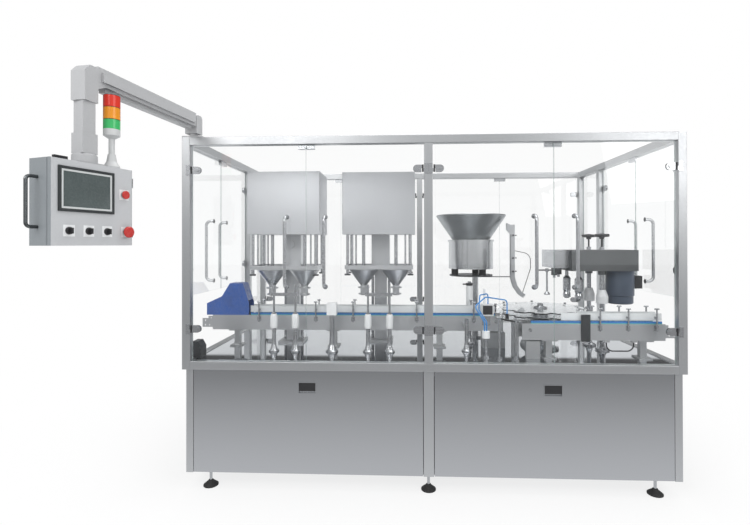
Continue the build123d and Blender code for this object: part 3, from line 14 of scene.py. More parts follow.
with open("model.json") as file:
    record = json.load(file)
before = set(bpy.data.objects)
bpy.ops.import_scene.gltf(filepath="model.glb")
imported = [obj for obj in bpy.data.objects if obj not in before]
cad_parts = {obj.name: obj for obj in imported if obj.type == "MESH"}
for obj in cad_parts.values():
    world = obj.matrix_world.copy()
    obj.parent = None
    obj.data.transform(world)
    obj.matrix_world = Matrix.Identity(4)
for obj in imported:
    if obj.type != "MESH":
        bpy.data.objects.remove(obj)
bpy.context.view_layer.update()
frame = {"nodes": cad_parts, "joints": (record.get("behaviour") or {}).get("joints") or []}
NODES = frame["nodes"]
bpy.ops.object.select_all(action="DESELECT")

# %% [markdown]
# ## The camera
# The line was photographed from in front, standing height, with a short lens a little left of its
# middle. The camera is placed in the part's own frame, so nothing has to be fitted later. Its matrix
# is built from the three directions right, forward and up, because that says plainly where it looks.

# %% Camera
CAMERA_AT = Vector((-0.1494, -2.8054, 1.4969))
YAW, PITCH, ROLL = 0.0427, 0.0044, 0.0017
LENS_MM = 21.943
SENSOR_MM = 36.0
camera_data = bpy.data.cameras.new("camera")
camera_data.lens = LENS_MM
camera_data.sensor_width = SENSOR_MM
camera_data.shift_x = -0.01207
camera_data.shift_y = -0.0274
camera_data.clip_start, camera_data.clip_end = 0.05, 60
camera = bpy.data.objects.new("camera", camera_data)
bpy.context.scene.collection.objects.link(camera)
turn = Matrix.Rotation(YAW, 3, "Z") @ Matrix.Rotation(PITCH, 3, "X") @ Matrix.Rotation(ROLL, 3, "Y")
right, forward, up = turn.col[0], turn.col[1], turn.col[2]
camera.matrix_world = Matrix((
    (right.x, up.x, -forward.x, CAMERA_AT.x),
    (right.y, up.y, -forward.y, CAMERA_AT.y),
    (right.z, up.z, -forward.z, CAMERA_AT.z),
    (0, 0, 0, 1)))
bpy.context.scene.camera = camera
bpy.context.scene.view_settings.view_transform = "Standard"
print("camera height", round(CAMERA_AT.z, 2), "m, lens", LENS_MM, "mm")

# %% [markdown]
# ## Helpers for node trees
# Every finish is a node tree. Two small helpers keep the trees short to read: one adds a node and
# sets its sockets, one makes a material with its surface shader ready.

# %% Node helpers
def add_node(tree, kind, settings=None, **sockets):
    node = tree.nodes.new(kind)
    for name, value in (settings or {}).items():
        setattr(node, name, value)
    for name, value in sockets.items():
        socket = node.inputs[int(name[1:])] if name[0] == "i" and name[1:].isdigit() else node.inputs[name.replace("_", " ")]
        if isinstance(value, bpy.types.NodeSocket):
            tree.links.new(value, socket)
        else:
            socket.default_value = value
    return node


def new_material(name, color, metallic=0.0, roughness=0.5, **sockets):
    material = bpy.data.materials.new(name)
    material.use_nodes = True
    tree = material.node_tree
    surface = tree.nodes["Principled BSDF"]
    surface.inputs["Base Color"].default_value = (*color, 1)
    surface.inputs["Metallic"].default_value = metallic
    surface.inputs["Roughness"].default_value = roughness
    for key, value in sockets.items():
        surface.inputs[key.replace("_", " ")].default_value = value
    material.diffuse_color = (*color, 1)
    return material, tree, surface


# %% [markdown]
# ## Shared effects
# Brushed steel and handling marks turn up on many finishes, so each is a node group made once. A
# group only puts out values, colours or normals. The shader itself stays in the material, where the
# exporter can find it.

# %% Group: brushed grain
def group_with(name, inputs, outputs):
    group = bpy.data.node_groups.new(name, "ShaderNodeTree")
    for label, kind, value in inputs:
        socket = group.interface.new_socket(name=label, in_out="INPUT", socket_type=kind)
        if value is not None:
            socket.default_value = value
    for label, kind in outputs:
        group.interface.new_socket(name=label, in_out="OUTPUT", socket_type=kind)
    return group, group.nodes.new("NodeGroupInput"), group.nodes.new("NodeGroupOutput")


grain_group, g_in, g_out = group_with(
    "Brushed grain",
    [("Stretch", "NodeSocketVector", (2, 2, 400)), ("Strength", "NodeSocketFloat", 0.1),
     ("Smooth", "NodeSocketFloat", 0.24), ("Rough", "NodeSocketFloat", 0.36)],
    [("Roughness", "NodeSocketFloat"), ("Normal", "NodeSocketVector"), ("Streak", "NodeSocketFloat")])
place = add_node(grain_group, "ShaderNodeTexCoord")
stretched = add_node(grain_group, "ShaderNodeVectorMath", {"operation": "MULTIPLY"},
                     i0=place.outputs["Object"], i1=g_in.outputs["Stretch"])
lines = add_node(grain_group, "ShaderNodeTexNoise", i0=stretched.outputs[0], Scale=1.0, Detail=3.0, Roughness=0.6)
broad = add_node(grain_group, "ShaderNodeTexNoise", i0=place.outputs["Object"], Scale=2.3, Detail=2.0)
streak = add_node(grain_group, "ShaderNodeMix", {"data_type": "FLOAT"}, i0=0.35,
                  i2=lines.outputs["Fac"], i3=broad.outputs["Fac"])
rough = add_node(grain_group, "ShaderNodeMapRange", Value=streak.outputs[0], i1=0.3, i2=0.7,
                 i3=g_in.outputs["Smooth"], i4=g_in.outputs["Rough"])
bump = add_node(grain_group, "ShaderNodeBump", Strength=g_in.outputs["Strength"], Distance=0.0004,
                Height=lines.outputs["Fac"])
grain_group.links.new(rough.outputs[0], g_out.inputs["Roughness"])
grain_group.links.new(bump.outputs[0], g_out.inputs["Normal"])
grain_group.links.new(streak.outputs[0], g_out.inputs["Streak"])
print("group", grain_group.name)

# %% Group: handling marks
marks_group, m_in, m_out = group_with(
    "Handling marks",
    [("Scale", "NodeSocketFloat", 9.0), ("Clean", "NodeSocketFloat", 0.2), ("Marked", "NodeSocketFloat", 0.35)],
    [("Roughness", "NodeSocketFloat"), ("Mask", "NodeSocketFloat")])
place = add_node(marks_group, "ShaderNodeTexCoord")
cloud = add_node(marks_group, "ShaderNodeTexNoise", i0=place.outputs["Object"], Scale=m_in.outputs["Scale"], Detail=4.0)
fine = add_node(marks_group, "ShaderNodeTexNoise", i0=place.outputs["Object"], Scale=140.0, Detail=2.0)
both = add_node(marks_group, "ShaderNodeMath", {"operation": "MULTIPLY"}, i0=cloud.outputs["Fac"], i1=fine.outputs["Fac"])
mask = add_node(marks_group, "ShaderNodeMapRange", Value=both.outputs[0], i1=0.15, i2=0.4, i3=0.0, i4=1.0)
level = add_node(marks_group, "ShaderNodeMapRange", Value=mask.outputs[0], i1=0.0, i2=1.0,
                 i3=m_in.outputs["Clean"], i4=m_in.outputs["Marked"])
marks_group.links.new(level.outputs[0], m_out.inputs["Roughness"])
marks_group.links.new(mask.outputs[0], m_out.inputs["Mask"])

# %% Place a group in a material
def use_group(tree, group, **sockets):
    node = tree.nodes.new("ShaderNodeGroup")
    node.node_tree = group
    for name, value in sockets.items():
        if isinstance(value, bpy.types.NodeSocket):
            tree.links.new(value, node.inputs[name])
        else:
            node.inputs[name].default_value = value
    return node


# %% [markdown]
# ## Steel finishes
# Stainless sheet is brushed in one direction, so its highlight smears across the brushing. The
# stretch of the noise sets that direction for each kind of part. A slight change of tone along the
# streaks keeps a large panel from looking like plastic.

# %% Brushed steels
def brushed(name, color, stretch, smooth=0.24, rough=0.36, strength=0.12, tone=0.06):
    material, tree, surface = new_material(name, color, metallic=1.0)
    grain = use_group(tree, grain_group, Stretch=stretch, Strength=strength, Smooth=smooth, Rough=rough)
    dark = tuple(c * (1 - tone) for c in color)
    light = tuple(min(1, c * (1 + tone)) for c in color)
    ramp = add_node(tree, "ShaderNodeMix", {"data_type": "RGBA"}, i0=grain.outputs["Streak"],
                    i6=(*dark, 1), i7=(*light, 1))
    tree.links.new(ramp.outputs[2], surface.inputs["Base Color"])
    tree.links.new(grain.outputs["Roughness"], surface.inputs["Roughness"])
    tree.links.new(grain.outputs["Normal"], surface.inputs["Normal"])
    return material


panel_steel = brushed("cabinet sheet", (0.50, 0.51, 0.525), (1.5, 1.5, 260), 0.16, 0.22, 0.015, 0.015)
housing_steel = brushed("housing sheet", (0.57, 0.58, 0.60), (220, 2, 2), 0.34, 0.46, 0.04, 0.03)
plate_steel = brushed("conveyor plate", (0.60, 0.61, 0.625), (2, 2, 240), 0.34, 0.44, 0.03, 0.03)
round_steel = brushed("turned steel", (0.54, 0.55, 0.565), (3, 3, 600), 0.2, 0.3, 0.04)
cone_steel = brushed("spun steel", (0.62, 0.63, 0.645), (4, 4, 300), 0.26, 0.36, 0.05)
capper_steel = brushed("capper sheet", (0.17, 0.178, 0.182), (2, 2, 180), 0.30, 0.42, 0.08)
bowl_steel = brushed("bowl steel", (0.38, 0.40, 0.41), (5, 5, 60), 0.26, 0.42, 0.14, 0.14)
chain_steel = brushed("chain steel", (0.46, 0.47, 0.48), (160, 2, 160), 0.22, 0.34, 0.10)
drum_steel = brushed("drum steel", (0.58, 0.59, 0.60), (2, 2, 120), 0.16, 0.28, 0.10)
screw_steel = brushed("screw steel", (0.45, 0.46, 0.47), (90, 90, 90), 0.2, 0.3, 0.05)
print("steels ready")

# %% [markdown]
# ## Painted, moulded and polished finishes
# The table is polished until it mirrors what stands on it. Paint has a faint orange peel, moulded
# plastic a fine grain. Each gets roughness that changes a little with handling.

# %% Table, paint and plastic
def marked(name, color, metallic=0.0, clean=0.25, marked_to=0.4, scale=9.0, peel=0.0, peel_scale=300.0, tint=0.0, **sockets):
    material, tree, surface = new_material(name, color, metallic=metallic, **sockets)
    marks = use_group(tree, marks_group, Scale=scale, Clean=clean, Marked=marked_to)
    tree.links.new(marks.outputs["Roughness"], surface.inputs["Roughness"])
    if tint:
        dull = tuple(c * (1 - tint) for c in color)
        mix = add_node(tree, "ShaderNodeMix", {"data_type": "RGBA"}, i0=marks.outputs["Mask"], i6=(*color, 1), i7=(*dull, 1))
        tree.links.new(mix.outputs[2], surface.inputs["Base Color"])
    if peel:
        place = add_node(tree, "ShaderNodeTexCoord")
        dimples = add_node(tree, "ShaderNodeTexNoise", i0=place.outputs["Object"], Scale=peel_scale, Detail=1.0)
        bump = add_node(tree, "ShaderNodeBump", Strength=peel, Distance=0.0003, Height=dimples.outputs["Fac"])
        tree.links.new(bump.outputs[0], surface.inputs["Normal"])
    return material


table_mirror = marked("polished table", (0.47, 0.485, 0.505), metallic=1.0, clean=0.006, marked_to=0.03, scale=5.0, tint=0.08)
tube_steel = marked("guard tube", (0.56, 0.57, 0.58), metallic=1.0, clean=0.36, marked_to=0.46, scale=4.0, tint=0.04)
arm_paint = marked("arm paint", (0.40, 0.405, 0.415), clean=0.35, marked_to=0.5, peel=0.15, tint=0.05)
box_paint = marked("panel box paint", (0.47, 0.48, 0.495), clean=0.3, marked_to=0.42, peel=0.1, tint=0.04)
# Painted shade: the box body is a darker grey than its door, to stand in for the shade on its side.
box_body_painted_shade = marked("panel body painted shade", (0.215, 0.235, 0.25), clean=0.3, marked_to=0.42, peel=0.1, tint=0.04)
motor_paint = marked("motor paint", (0.055, 0.075, 0.11), clean=0.32, marked_to=0.5, peel=0.3, tint=0.1)
black_plastic = marked("black plastic", (0.018, 0.018, 0.02), clean=0.35, marked_to=0.5, peel=0.2, peel_scale=900.0)
black_rubber = marked("black rubber", (0.02, 0.02, 0.02), clean=0.6, marked_to=0.8, peel=0.3, peel_scale=600.0, tint=0.2)
white_plastic = marked("white plastic", (0.74, 0.75, 0.76), clean=0.38, marked_to=0.5, peel=0.1, tint=0.05)
red_plastic = marked("red plastic", (0.48, 0.035, 0.03), clean=0.2, marked_to=0.32, tint=0.08)
blue_film = marked("blue film", (0.045, 0.11, 0.36), clean=0.22, marked_to=0.4, scale=16.0, peel=0.4, peel_scale=60.0, tint=0.25)
green_strip = marked("green wear strip", (0.10, 0.42, 0.36), clean=0.35, marked_to=0.5, tint=0.1)
dark_metal = marked("dark metal", (0.10, 0.105, 0.11), metallic=1.0, clean=0.35, marked_to=0.5, tint=0.1)
screen_bezel = marked("screen bezel", (0.03, 0.034, 0.036), clean=0.3, marked_to=0.42, peel=0.1)
screen_glass = marked("screen glass", (0.085, 0.105, 0.105), clean=0.06, marked_to=0.14, tint=0.2)
cast_grey = marked("cast grey", (0.34, 0.35, 0.36), metallic=0.6, clean=0.4, marked_to=0.55, peel=0.3, tint=0.1)
rail_plastic = marked("rail plastic", (0.66, 0.68, 0.69), clean=0.25, marked_to=0.4, tint=0.05)
strip_blue = marked("blue wear strip", (0.035, 0.16, 0.42), clean=0.25, marked_to=0.4, tint=0.1)
tube_blue = marked("blue air tube", (0.03, 0.22, 0.55), clean=0.2, marked_to=0.3)
lamp_base = marked("lamp base", (0.50, 0.51, 0.515), clean=0.3, marked_to=0.45, tint=0.05)
grip_steel = marked("grip steel", (0.16, 0.17, 0.175), metallic=1.0, clean=0.25, marked_to=0.4)
bezel_silver = marked("bezel silver", (0.56, 0.58, 0.58), metallic=0.1, clean=0.3, marked_to=0.4)
lens_red = marked("red lens", (0.62, 0.035, 0.02), clean=0.12, marked_to=0.25, tint=0.06)
lens_orange = marked("orange lens", (0.72, 0.27, 0.02), clean=0.12, marked_to=0.25, tint=0.06)
lens_green = marked("green lens", (0.05, 0.42, 0.13), clean=0.12, marked_to=0.25, tint=0.06)
print("paints and plastics ready")

# %% [markdown]
# ## Glass and clear plastic
# Thick glass bends what is behind it and shows a green edge. A lamp's light would stop at it, so
# shadow rays go straight through, as they nearly do in life.

# %% Glass
def clear(name, color, roughness, ior, passing):
    material, tree, surface = new_material(name, color, roughness=roughness)
    surface.inputs["Transmission Weight"].default_value = 1.0
    surface.inputs["IOR"].default_value = ior
    surface.inputs["Specular IOR Level"].default_value = 0.3
    output = tree.nodes["Material Output"]
    path = add_node(tree, "ShaderNodeLightPath")
    soft = add_node(tree, "ShaderNodeMath", {"operation": "MAXIMUM"},
                    i0=path.outputs["Is Shadow Ray"], i1=path.outputs["Is Diffuse Ray"])
    through = add_node(tree, "ShaderNodeBsdfTransparent", Color=(*passing, 1))
    mix = add_node(tree, "ShaderNodeMixShader", Fac=soft.outputs[0], i1=surface.outputs[0], i2=through.outputs[0])
    tree.links.new(mix.outputs[0], output.inputs["Surface"])
    marks = use_group(tree, marks_group, Scale=3.0, Clean=roughness, Marked=roughness + 0.02)
    tree.links.new(marks.outputs["Roughness"], surface.inputs["Roughness"])
    return material


door_glass = clear("door glass", (0.997, 1.0, 0.999), 0.0, 1.45, (0.98, 0.985, 0.985))
glass_edge = marked("glass edge", (0.36, 0.44, 0.43), clean=0.1, marked_to=0.2, tint=0.1)
clear_plastic = clear("clear plastic", (0.93, 0.95, 0.96), 0.05, 1.45, (0.9, 0.92, 0.93))

# %% [markdown]
# ## Painting the CAD nodes
# A CAD node may hold many separate bodies with different finishes. Its mesh is loose triangles, so the
# triangles are first gathered into bodies by the corners they share. A rule then picks bodies by the
# box they fill, and a finish is given to their faces. No vertex moves.

# %% Painter
def bodies_in(mesh):
    """Lists (faces, low corner, high corner) for each separate body of a mesh."""
    corner = {}
    parent = []
    face_key = []

    def top(a):
        while parent[a] != a:
            parent[a] = parent[parent[a]]
            a = parent[a]
        return a

    spot = []
    for vertex in mesh.vertices:
        key = tuple(round(v, 6) for v in vertex.co)
        if key not in corner:
            corner[key] = len(parent)
            parent.append(len(parent))
        spot.append(corner[key])
    for face in mesh.polygons:
        ids = [top(spot[v]) for v in face.vertices]
        for other in ids[1:]:
            parent[top(other)] = top(ids[0])
        face_key.append(spot[face.vertices[0]])
    found = {}
    for index, key in enumerate(face_key):
        found.setdefault(top(key), []).append(index)
    listed = []
    for faces in found.values():
        points = [mesh.vertices[v].co for f in faces for v in mesh.polygons[f].vertices]
        low = [min(p[k] for p in points) for k in range(3)]
        high = [max(p[k] for p in points) for k in range(3)]
        listed.append((faces, low, high))
    return listed


def paint(node, base, *rules):
    """base is the node's main finish; each rule is (material, test of a body's low and high corner)."""
    mesh = NODES[node].data
    mesh.materials.clear()
    mesh.materials.append(base)
    counts = []
    for faces, low, high in bodies_in(mesh) if rules else ():
        for material, test in rules:
            if test(low, high):
                if material.name not in mesh.materials:
                    mesh.materials.append(material)
                index = mesh.materials.find(material.name)
                for face in faces:
                    mesh.polygons[face].material_index = index
                counts.append(material.name)
    return counts


def small(low, high, size):
    return max(h - l for l, h in zip(low, high)) < size


# %% [markdown]
# ### Cabinet, table and guard
# The cabinet is sheet and square tube, the table a polished plate, the feet rubber pads on plated
# screws. The latch cups are black plastic let into the sheet. The small box on the left sill is
# painted dark.

# %% Paint the cabinet and guard
paint("cabinet_frame", tube_steel)
paint("cabinet_panels", panel_steel, (dark_metal, lambda low, high: high[0] - low[0] < 0.13))
for side in ("left", "right"):
    paint(f"cabinet_door_{side}", panel_steel, (black_plastic, lambda low, high: small(low, high, 0.2)))
    paint(f"door_latch_{side}", black_plastic)
paint("table_top", table_mirror)
paint("levelling_feet", black_rubber, (screw_steel, lambda low, high: low[2] > 0.03))
print(paint("guard_frame", tube_steel, (arm_paint, lambda low, high: low[2] > 2.149),
            (dark_metal, lambda low, high: 0.77 < low[2] and high[2] < 0.9)))

# %% [markdown]
# ### Doors
# A door is a pane with steel clamps and a tube handle. The thin sides of a pane look darker and
# greener than its face, because light travels the long way through the glass. The hinge knuckles are
# black plastic bushes, and they are found by how near their faces lie to the hinge line.

# %% Paint the doors
def is_pane(low, high):
    return high[2] - low[2] > 0.8


def paint_faces(node, material, test):
    """Gives a finish to the faces whose centre and normal pass the test."""
    mesh = NODES[node].data
    if material.name not in mesh.materials:
        mesh.materials.append(material)
    index = mesh.materials.find(material.name)
    count = 0
    for face in mesh.polygons:
        if test(face.center, face.normal):
            face.material_index = index
            count += 1
    return count


DOOR_NODES = [node for node in NODES if "_door_" in node and not node.startswith("cabinet")]
hinge_line = {}
for joint in frame["joints"]:
    if joint["name"].endswith("_hinge"):
        hinge_line[joint["name"][:-6]] = Vector(joint["pos_m"][:2])
KNUCKLE = 0.0058


def on_hinge(center, normal):
    return any((center.xy - spot).length < KNUCKLE for spot in hinge_line.values())


paint("side_glass", screw_steel, (door_glass, is_pane))
for node in DOOR_NODES:
    paint(node, round_steel, (door_glass, is_pane))
    paint_faces(node, black_plastic, on_hinge)
paint("hinge_plates", round_steel)
print("knuckle faces", paint_faces("hinge_plates", black_plastic, on_hinge))
for node in DOOR_NODES + ["side_glass"]:
    mesh = NODES[node].data
    pane = mesh.materials.find(door_glass.name)
    mesh.materials.append(glass_edge)
    edge = len(mesh.materials) - 1
    across = 1 if node.startswith(("front", "back")) else 0
    for face in mesh.polygons:
        if face.material_index == pane and abs(face.normal[across]) < 0.5:
            face.material_index = edge

# %% [markdown]
# ### Conveyors and rails
# Side plates are brushed sheet with a blue wear strip on a thin green one. The chain is cast steel
# links. Motors and gearboxes are painted or cast grey, and the looped cable is black.

# %% Paint the conveyors
def is_chain(low, high):
    return high[0] - low[0] > 0.7 and 0.075 < high[1] - low[1] < 0.09


paint("infeed_conveyor", plate_steel, (chain_steel, is_chain),
      (tube_steel, lambda low, high: high[2] < 0.9 and high[0] - low[0] < 0.1),
      (cast_grey, lambda low, high: high[2] < 0.9 and high[0] - low[0] > 0.14))
paint("outfeed_conveyor", plate_steel, (chain_steel, is_chain),
      (tube_steel, lambda low, high: high[2] < 0.9 and high[0] - low[0] < 0.1),
      (cast_grey, lambda low, high: high[1] - low[1] > 0.12 and high[0] - low[0] < 0.09),
      (dark_metal, lambda low, high: low[2] > 0.88 and high[2] > 1.04),
      (black_plastic, lambda low, high: low[2] < 0.84 and high[0] - low[0] > 0.16))
for node in ("infeed_sprocket", "outfeed_sprocket"):
    paint(node, chain_steel)
print(paint("guide_rails", round_steel,
            (rail_plastic, lambda low, high: high[0] - low[0] > 0.3 and low[2] > 1.019),
            (blue_film, lambda low, high: low[0] < -1.5),
            (white_plastic, lambda low, high: low[1] > 0.30 and high[1] < 0.36 and low[0] > 0.37 and high[0] < 0.46),
            (black_plastic, lambda low, high: low[1] < 0.306 and low[0] > 0.38 and high[0] < 0.45)))


def on_strip(center):
    for middle in (0.415, 0.130):
        if 0.048 < abs(center.y - middle) < 0.0551 and 0.4745 > center.x > -1.2205 or 0.6395 < center.x:
            if 1.0009 < center.z < 1.0181 and 0.048 < abs(center.y - middle) < 0.0551:
                return True
    return False


print("strip faces", paint_faces("guide_rails", strip_blue, lambda c, n: on_strip(c) and c.z > 1.005),
      paint_faces("guide_rails", green_strip, lambda c, n: on_strip(c) and c.z < 1.005))

# %% [markdown]
# ### Fillers, pillars and star wheel
# The filler housings are bead-blasted sheet, brighter and flatter than the brushed plates. The cones
# are spun and polished. Star wheel, dead plate and guide arcs are cut from clear plastic.

# %% Paint the fillers and the star wheel
paint("filler_housings", housing_steel, (cast_grey, lambda low, high: small(low, high, 0.25)))
paint("filler_stands", plate_steel,
      (round_steel, lambda low, high: high[0] - low[0] < 0.024),
      (dark_metal, lambda low, high: low[2] > 1.27 and high[2] < 1.3))
paint("hoppers", cone_steel)
for number in range(1, 5):
    paint(f"auger_{number}", round_steel)
print(paint("pillars", round_steel,
            (white_plastic, lambda low, high: low[2] > 0.93 and high[2] < 1.2),
            (black_plastic, lambda low, high: low[2] > 1.19),
            (plate_steel, lambda low, high: 0.93 < low[2] < 0.95 and high[1] > 0.3 and high[1] < 0.4)))
for number in (1, 2):
    paint(f"lift_bar_{number}", round_steel)
    paint(f"capping_head_{number}", round_steel)
    paint(f"handwheel_{number}", black_plastic)
paint("dial_base", clear_plastic, (round_steel, lambda low, high: low[2] < 0.99 or high[0] - low[0] < 0.03))
paint("star_wheel", clear_plastic,
      (round_steel, lambda low, high: low[2] < 0.99 or high[2] > 1.06 or high[0] - low[0] < 0.2))

# %% [markdown]
# ### Capping unit, cap feeder and air
# The capping unit's covers are darker sheet, its motor dark blue. The cap feeder's drum is turned
# steel on rubber feet, the air tubes are blue plastic.

# %% Paint the capping unit and feeder
paint("capper_posts", round_steel, (white_plastic, lambda low, high: low[2] > 1.0))
paint("capper_housing", capper_steel,
      (round_steel, lambda low, high: high[0] - low[0] < 0.1 and not 0.03 < high[0] - low[0] < 0.036),
      (dark_metal, lambda low, high: 0.03 < high[0] - low[0] < 0.036))
paint("capper_motor", motor_paint, (black_plastic, lambda low, high: small(low, high, 0.12)))
paint("feeder_stand", drum_steel,
      (black_rubber, lambda low, high: 1.25 < low[2] and high[2] < 1.31 and high[0] - low[0] < 0.06),
      (dark_metal, lambda low, high: 1.24 < low[2] < 1.251 and high[2] < 1.27))
paint("feeder_bowl", bowl_steel)
paint("cap_chute", plate_steel, (dark_metal, lambda low, high: small(low, high, 0.04)),
      (black_plastic, lambda low, high: high[0] > 0.79))
print(paint("air_manifold", round_steel,
            (white_plastic, lambda low, high: 0.89 < low[2] < 0.91 and high[2] < 0.95),
            (black_plastic, lambda low, high: low[2] > 0.99),
            (tube_blue, lambda low, high: 0.94 < low[2] < 0.95)))

# %% [markdown]
# ### Operator panel
# Arm and box are powder coated. The box body gets a darker grey than its door, which is painted shade for its shaded
# side. The lamp has three coloured lenses on a steel base, each closed by a dark ring. In the record the lamp turns
# with the box.

# %% Paint the operator panel
PANEL_TOP = 1.847
PANEL_AT = Vector((-1.552, -0.852, 0))
PANEL_TURN = math.radians(72.1)
PANEL_FACE, PANEL_LEFT = -0.0625, -0.190
into_panel = Matrix.Translation(PANEL_AT) @ Matrix.Rotation(PANEL_TURN, 4, "Z")
from_panel = into_panel.inverted()
paint("hmi_arm", arm_paint)
print(paint("hmi_box", box_paint,
            # the tall body of the box takes the darker grey, painted shade for its side
            (box_body_painted_shade, lambda low, high: high[2] - low[2] > 0.33),
            (arm_paint, lambda low, high: low[2] > PANEL_TOP - 0.001),
            (black_plastic, lambda low, high: abs(low[2] - PANEL_TOP) < 0.001 and high[2] < PANEL_TOP + 0.019
             and high[2] > PANEL_TOP + 0.017),
            (grip_steel, lambda low, high: 0.19 < high[2] - low[2] < 0.23),
            (screw_steel, lambda low, high: 0.043 < high[2] - low[2] < 0.05 and high[2] < PANEL_TOP),
            (white_plastic, lambda low, high: 0.0479 < high[2] - low[2] < 0.0481),
            (round_steel, lambda low, high: high[2] - low[2] < 0.04 and high[2] < PANEL_TOP)))
FACE_NORMAL = into_panel.to_3x3() @ Vector((0, -1, 0))
print("door faces", paint_faces("hmi_box", box_paint, lambda c, n: abs((from_panel @ c).y - PANEL_FACE) < 1e-4
                                and n.dot(FACE_NORMAL) > 0.9 and (from_panel @ c).z < PANEL_TOP))
SCREEN_MID = ((0.031 + 0.281) / 2 + PANEL_LEFT, (1.633 + 1.819) / 2)


def inset_of(center):
    """How far a point of the screen lies inside the screen's outer edge."""
    spot = from_panel @ center
    return min(0.125 - abs(spot.x - SCREEN_MID[0]), 0.093 - abs(spot.z - SCREEN_MID[1]))


paint("hmi_screen", screen_bezel)
print("screen faces", paint_faces("hmi_screen", bezel_silver, lambda c, n: inset_of(c) > 0.0125),
      paint_faces("hmi_screen", screen_glass, lambda c, n: inset_of(c) > 0.0205))
for number in (1, 2, 3):
    paint(f"selector_knob_{number}", black_plastic)
paint("start_button", red_plastic)
paint("stop_button", red_plastic)
paint("stack_light", lamp_base)
for material, low, high in ((lens_green, 0.179, 0.222), (lens_orange, 0.225, 0.278), (lens_red, 0.281, 0.334),
                            (dark_metal, 0.222, 0.225), (dark_metal, 0.278, 0.281), (dark_metal, 0.334, 0.337)):
    low, high = PANEL_TOP + low, PANEL_TOP + high
    print(material.name, paint_faces("stack_light", material, lambda c, n: low - 1e-4 < c.z < high + 1e-4))

# %% Light levels
FLOOR_SHARE = 0.76
FLOOR_FAR, FLOOR_NEAR = 0.34, 1.0
BACK_LOW, BACK_HIGH = 0.98, 0.10
FRONT_LOW, FRONT_HIGH = 0.86, 0.46
CEILING = 0.5
FILL = 1.0

# %% [markdown]
# ## Light
# Polished steel shows what stands around it, so the room matters more than the lamps. The room seen
# in reflections is bright at the horizon and dark higher up, which gives the table its dark front
# band. The floor is seen white with a soft shadow, and in reflections it darkens away from the
# machine, which shades the cabinet from top to bottom.

# %% Floor
bpy.ops.mesh.primitive_plane_add(size=60, location=(0, 0, 0))
floor = bpy.context.object
floor.name = "floor"
floor_paint, tree, surface = new_material("pale floor", (0.8, 0.8, 0.8), roughness=0.9)
surface.inputs["Specular IOR Level"].default_value = 0.0
path = add_node(tree, "ShaderNodeLightPath")
place = add_node(tree, "ShaderNodeTexCoord")
split = add_node(tree, "ShaderNodeSeparateXYZ", Vector=place.outputs["Object"])
middle = add_node(tree, "ShaderNodeVectorMath", {"operation": "SUBTRACT"}, i0=place.outputs["Object"], i1=(0, 0.7, 0))
away = add_node(tree, "ShaderNodeVectorMath", {"operation": "LENGTH"}, i0=middle.outputs[0])
fade = add_node(tree, "ShaderNodeMapRange", {"interpolation_type": "SMOOTHSTEP"}, Value=away.outputs["Value"],
                i1=1.9, i2=3.4, i3=FLOOR_SHARE, i4=1.0)
through = add_node(tree, "ShaderNodeMath", {"operation": "MAXIMUM"}, i0=path.outputs["Is Camera Ray"],
                   i1=path.outputs["Is Transmission Ray"])
share = add_node(tree, "ShaderNodeMath", {"operation": "MULTIPLY"}, i0=through.outputs[0], i1=fade.outputs[0])
white = add_node(tree, "ShaderNodeEmission", Color=(1, 1, 1, 1), Strength=1.0)
seen = add_node(tree, "ShaderNodeMixShader", Fac=share.outputs[0], i1=surface.outputs[0], i2=white.outputs[0])
ahead = add_node(tree, "ShaderNodeMapRange", Value=split.outputs["Y"], i1=-2.7, i2=0.4, i3=FLOOR_FAR, i4=FLOOR_NEAR)
mirrored = add_node(tree, "ShaderNodeEmission", Color=(0.97, 0.98, 1.0, 1), Strength=ahead.outputs[0])
bounced = add_node(tree, "ShaderNodeMath", {"operation": "GREATER_THAN"}, i0=path.outputs["Glossy Depth"], i1=0.5)
both = add_node(tree, "ShaderNodeMixShader", Fac=bounced.outputs[0], i1=seen.outputs[0], i2=mirrored.outputs[0])
tree.links.new(both.outputs[0], tree.nodes["Material Output"].inputs["Surface"])
floor.data.materials.append(floor_paint)
print("floor ready")

# %% Room
world = bpy.data.worlds.new("studio")
bpy.context.scene.world = world
world.use_nodes = True
tree = world.node_tree
tree.nodes.clear()
path = add_node(tree, "ShaderNodeLightPath")
direction = add_node(tree, "ShaderNodeTexCoord")
split = add_node(tree, "ShaderNodeSeparateXYZ", Vector=direction.outputs["Generated"])
flat_y = add_node(tree, "ShaderNodeMath", {"operation": "MAXIMUM"}, i0=split.outputs["Y"], i1=0.02)
slope = add_node(tree, "ShaderNodeMath", {"operation": "DIVIDE"}, i0=split.outputs["Z"], i1=flat_y.outputs[0])
behind = add_node(tree, "ShaderNodeMapRange", Value=slope.outputs[0], i1=0.243, i2=0.248, i3=BACK_LOW, i4=BACK_HIGH)
above = add_node(tree, "ShaderNodeMapRange", Value=split.outputs["Z"], i1=0.4, i2=0.75, i3=0.0, i4=CEILING)
rear = add_node(tree, "ShaderNodeMath", {"operation": "ADD"}, i0=behind.outputs[0], i1=above.outputs[0])
front = add_node(tree, "ShaderNodeMapRange", Value=split.outputs["Z"], i1=-0.05, i2=0.24, i3=FRONT_LOW, i4=FRONT_HIGH)
lifted = add_node(tree, "ShaderNodeMath", {"operation": "ADD"}, i0=front.outputs[0], i1=above.outputs[0])
facing = add_node(tree, "ShaderNodeMapRange", {"interpolation_type": "SMOOTHSTEP"}, Value=split.outputs["Y"],
                  i1=-0.25, i2=0.35, i3=0.0, i4=1.0)
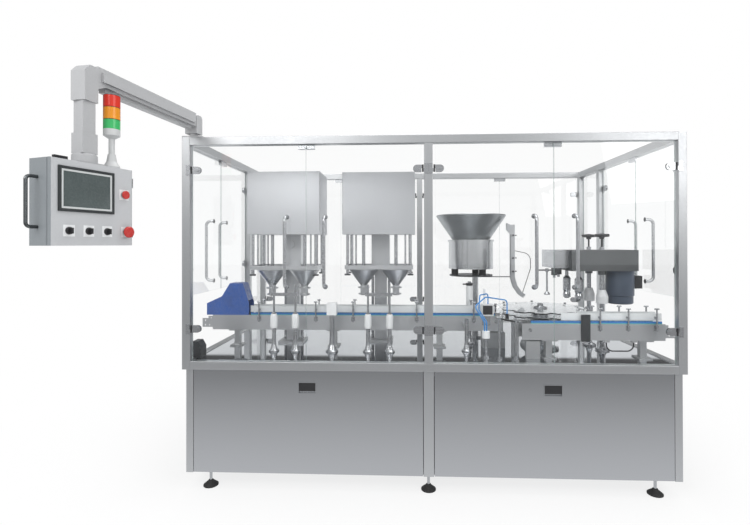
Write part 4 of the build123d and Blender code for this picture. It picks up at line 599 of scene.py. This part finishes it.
room = add_node(tree, "ShaderNodeMix", {"data_type": "FLOAT"}, i0=facing.outputs[0], i2=lifted.outputs[0], i3=rear.outputs[0])
glossy = add_node(tree, "ShaderNodeBackground", Color=(0.97, 0.985, 1.0, 1), Strength=room.outputs[0])
fill = add_node(tree, "ShaderNodeBackground", Color=(1, 1, 1, 1), Strength=FILL)
white = add_node(tree, "ShaderNodeBackground", Color=(1, 1, 1, 1), Strength=1.0)
mirrored = add_node(tree, "ShaderNodeMath", {"operation": "GREATER_THAN"}, i0=path.outputs["Glossy Depth"], i1=0.5)
direct = add_node(tree, "ShaderNodeMath", {"operation": "LESS_THAN"}, i0=path.outputs["Glossy Depth"], i1=0.5)
lit = add_node(tree, "ShaderNodeMixShader", Fac=mirrored.outputs[0], i1=fill.outputs[0], i2=glossy.outputs[0])
through = add_node(tree, "ShaderNodeMath", {"operation": "MAXIMUM"}, i0=path.outputs["Is Camera Ray"],
                   i1=path.outputs["Is Transmission Ray"])
seen = add_node(tree, "ShaderNodeMath", {"operation": "MULTIPLY"}, i0=through.outputs[0], i1=direct.outputs[0])
mix = add_node(tree, "ShaderNodeMixShader", Fac=seen.outputs[0], i1=lit.outputs[0], i2=white.outputs[0])
output = add_node(tree, "ShaderNodeOutputWorld")
tree.links.new(mix.outputs[0], output.inputs["Surface"])

# %% Lamps
def soft_box(name, at, aim, size, power):
    lamp = bpy.data.lights.new(name, "AREA")
    lamp.shape, lamp.size, lamp.size_y, lamp.energy = "RECTANGLE", size[0], size[1], power
    holder = bpy.data.objects.new(name, lamp)
    holder.location = at
    holder.rotation_euler = (Vector(aim) - Vector(at)).to_track_quat("-Z", "Y").to_euler()
    bpy.context.scene.collection.objects.link(holder)


soft_box("key light", (-2.5, -4.0, 4.2), (0, 0.4, 1.0), (3.0, 2.0), 90)
soft_box("fill light", (3.5, -3.0, 3.0), (0, 0.4, 1.0), (2.5, 2.0), 40)
soft_box("top light", (0.3, 0.8, 4.6), (0, 0.6, 0.8), (4.0, 2.5), 70)
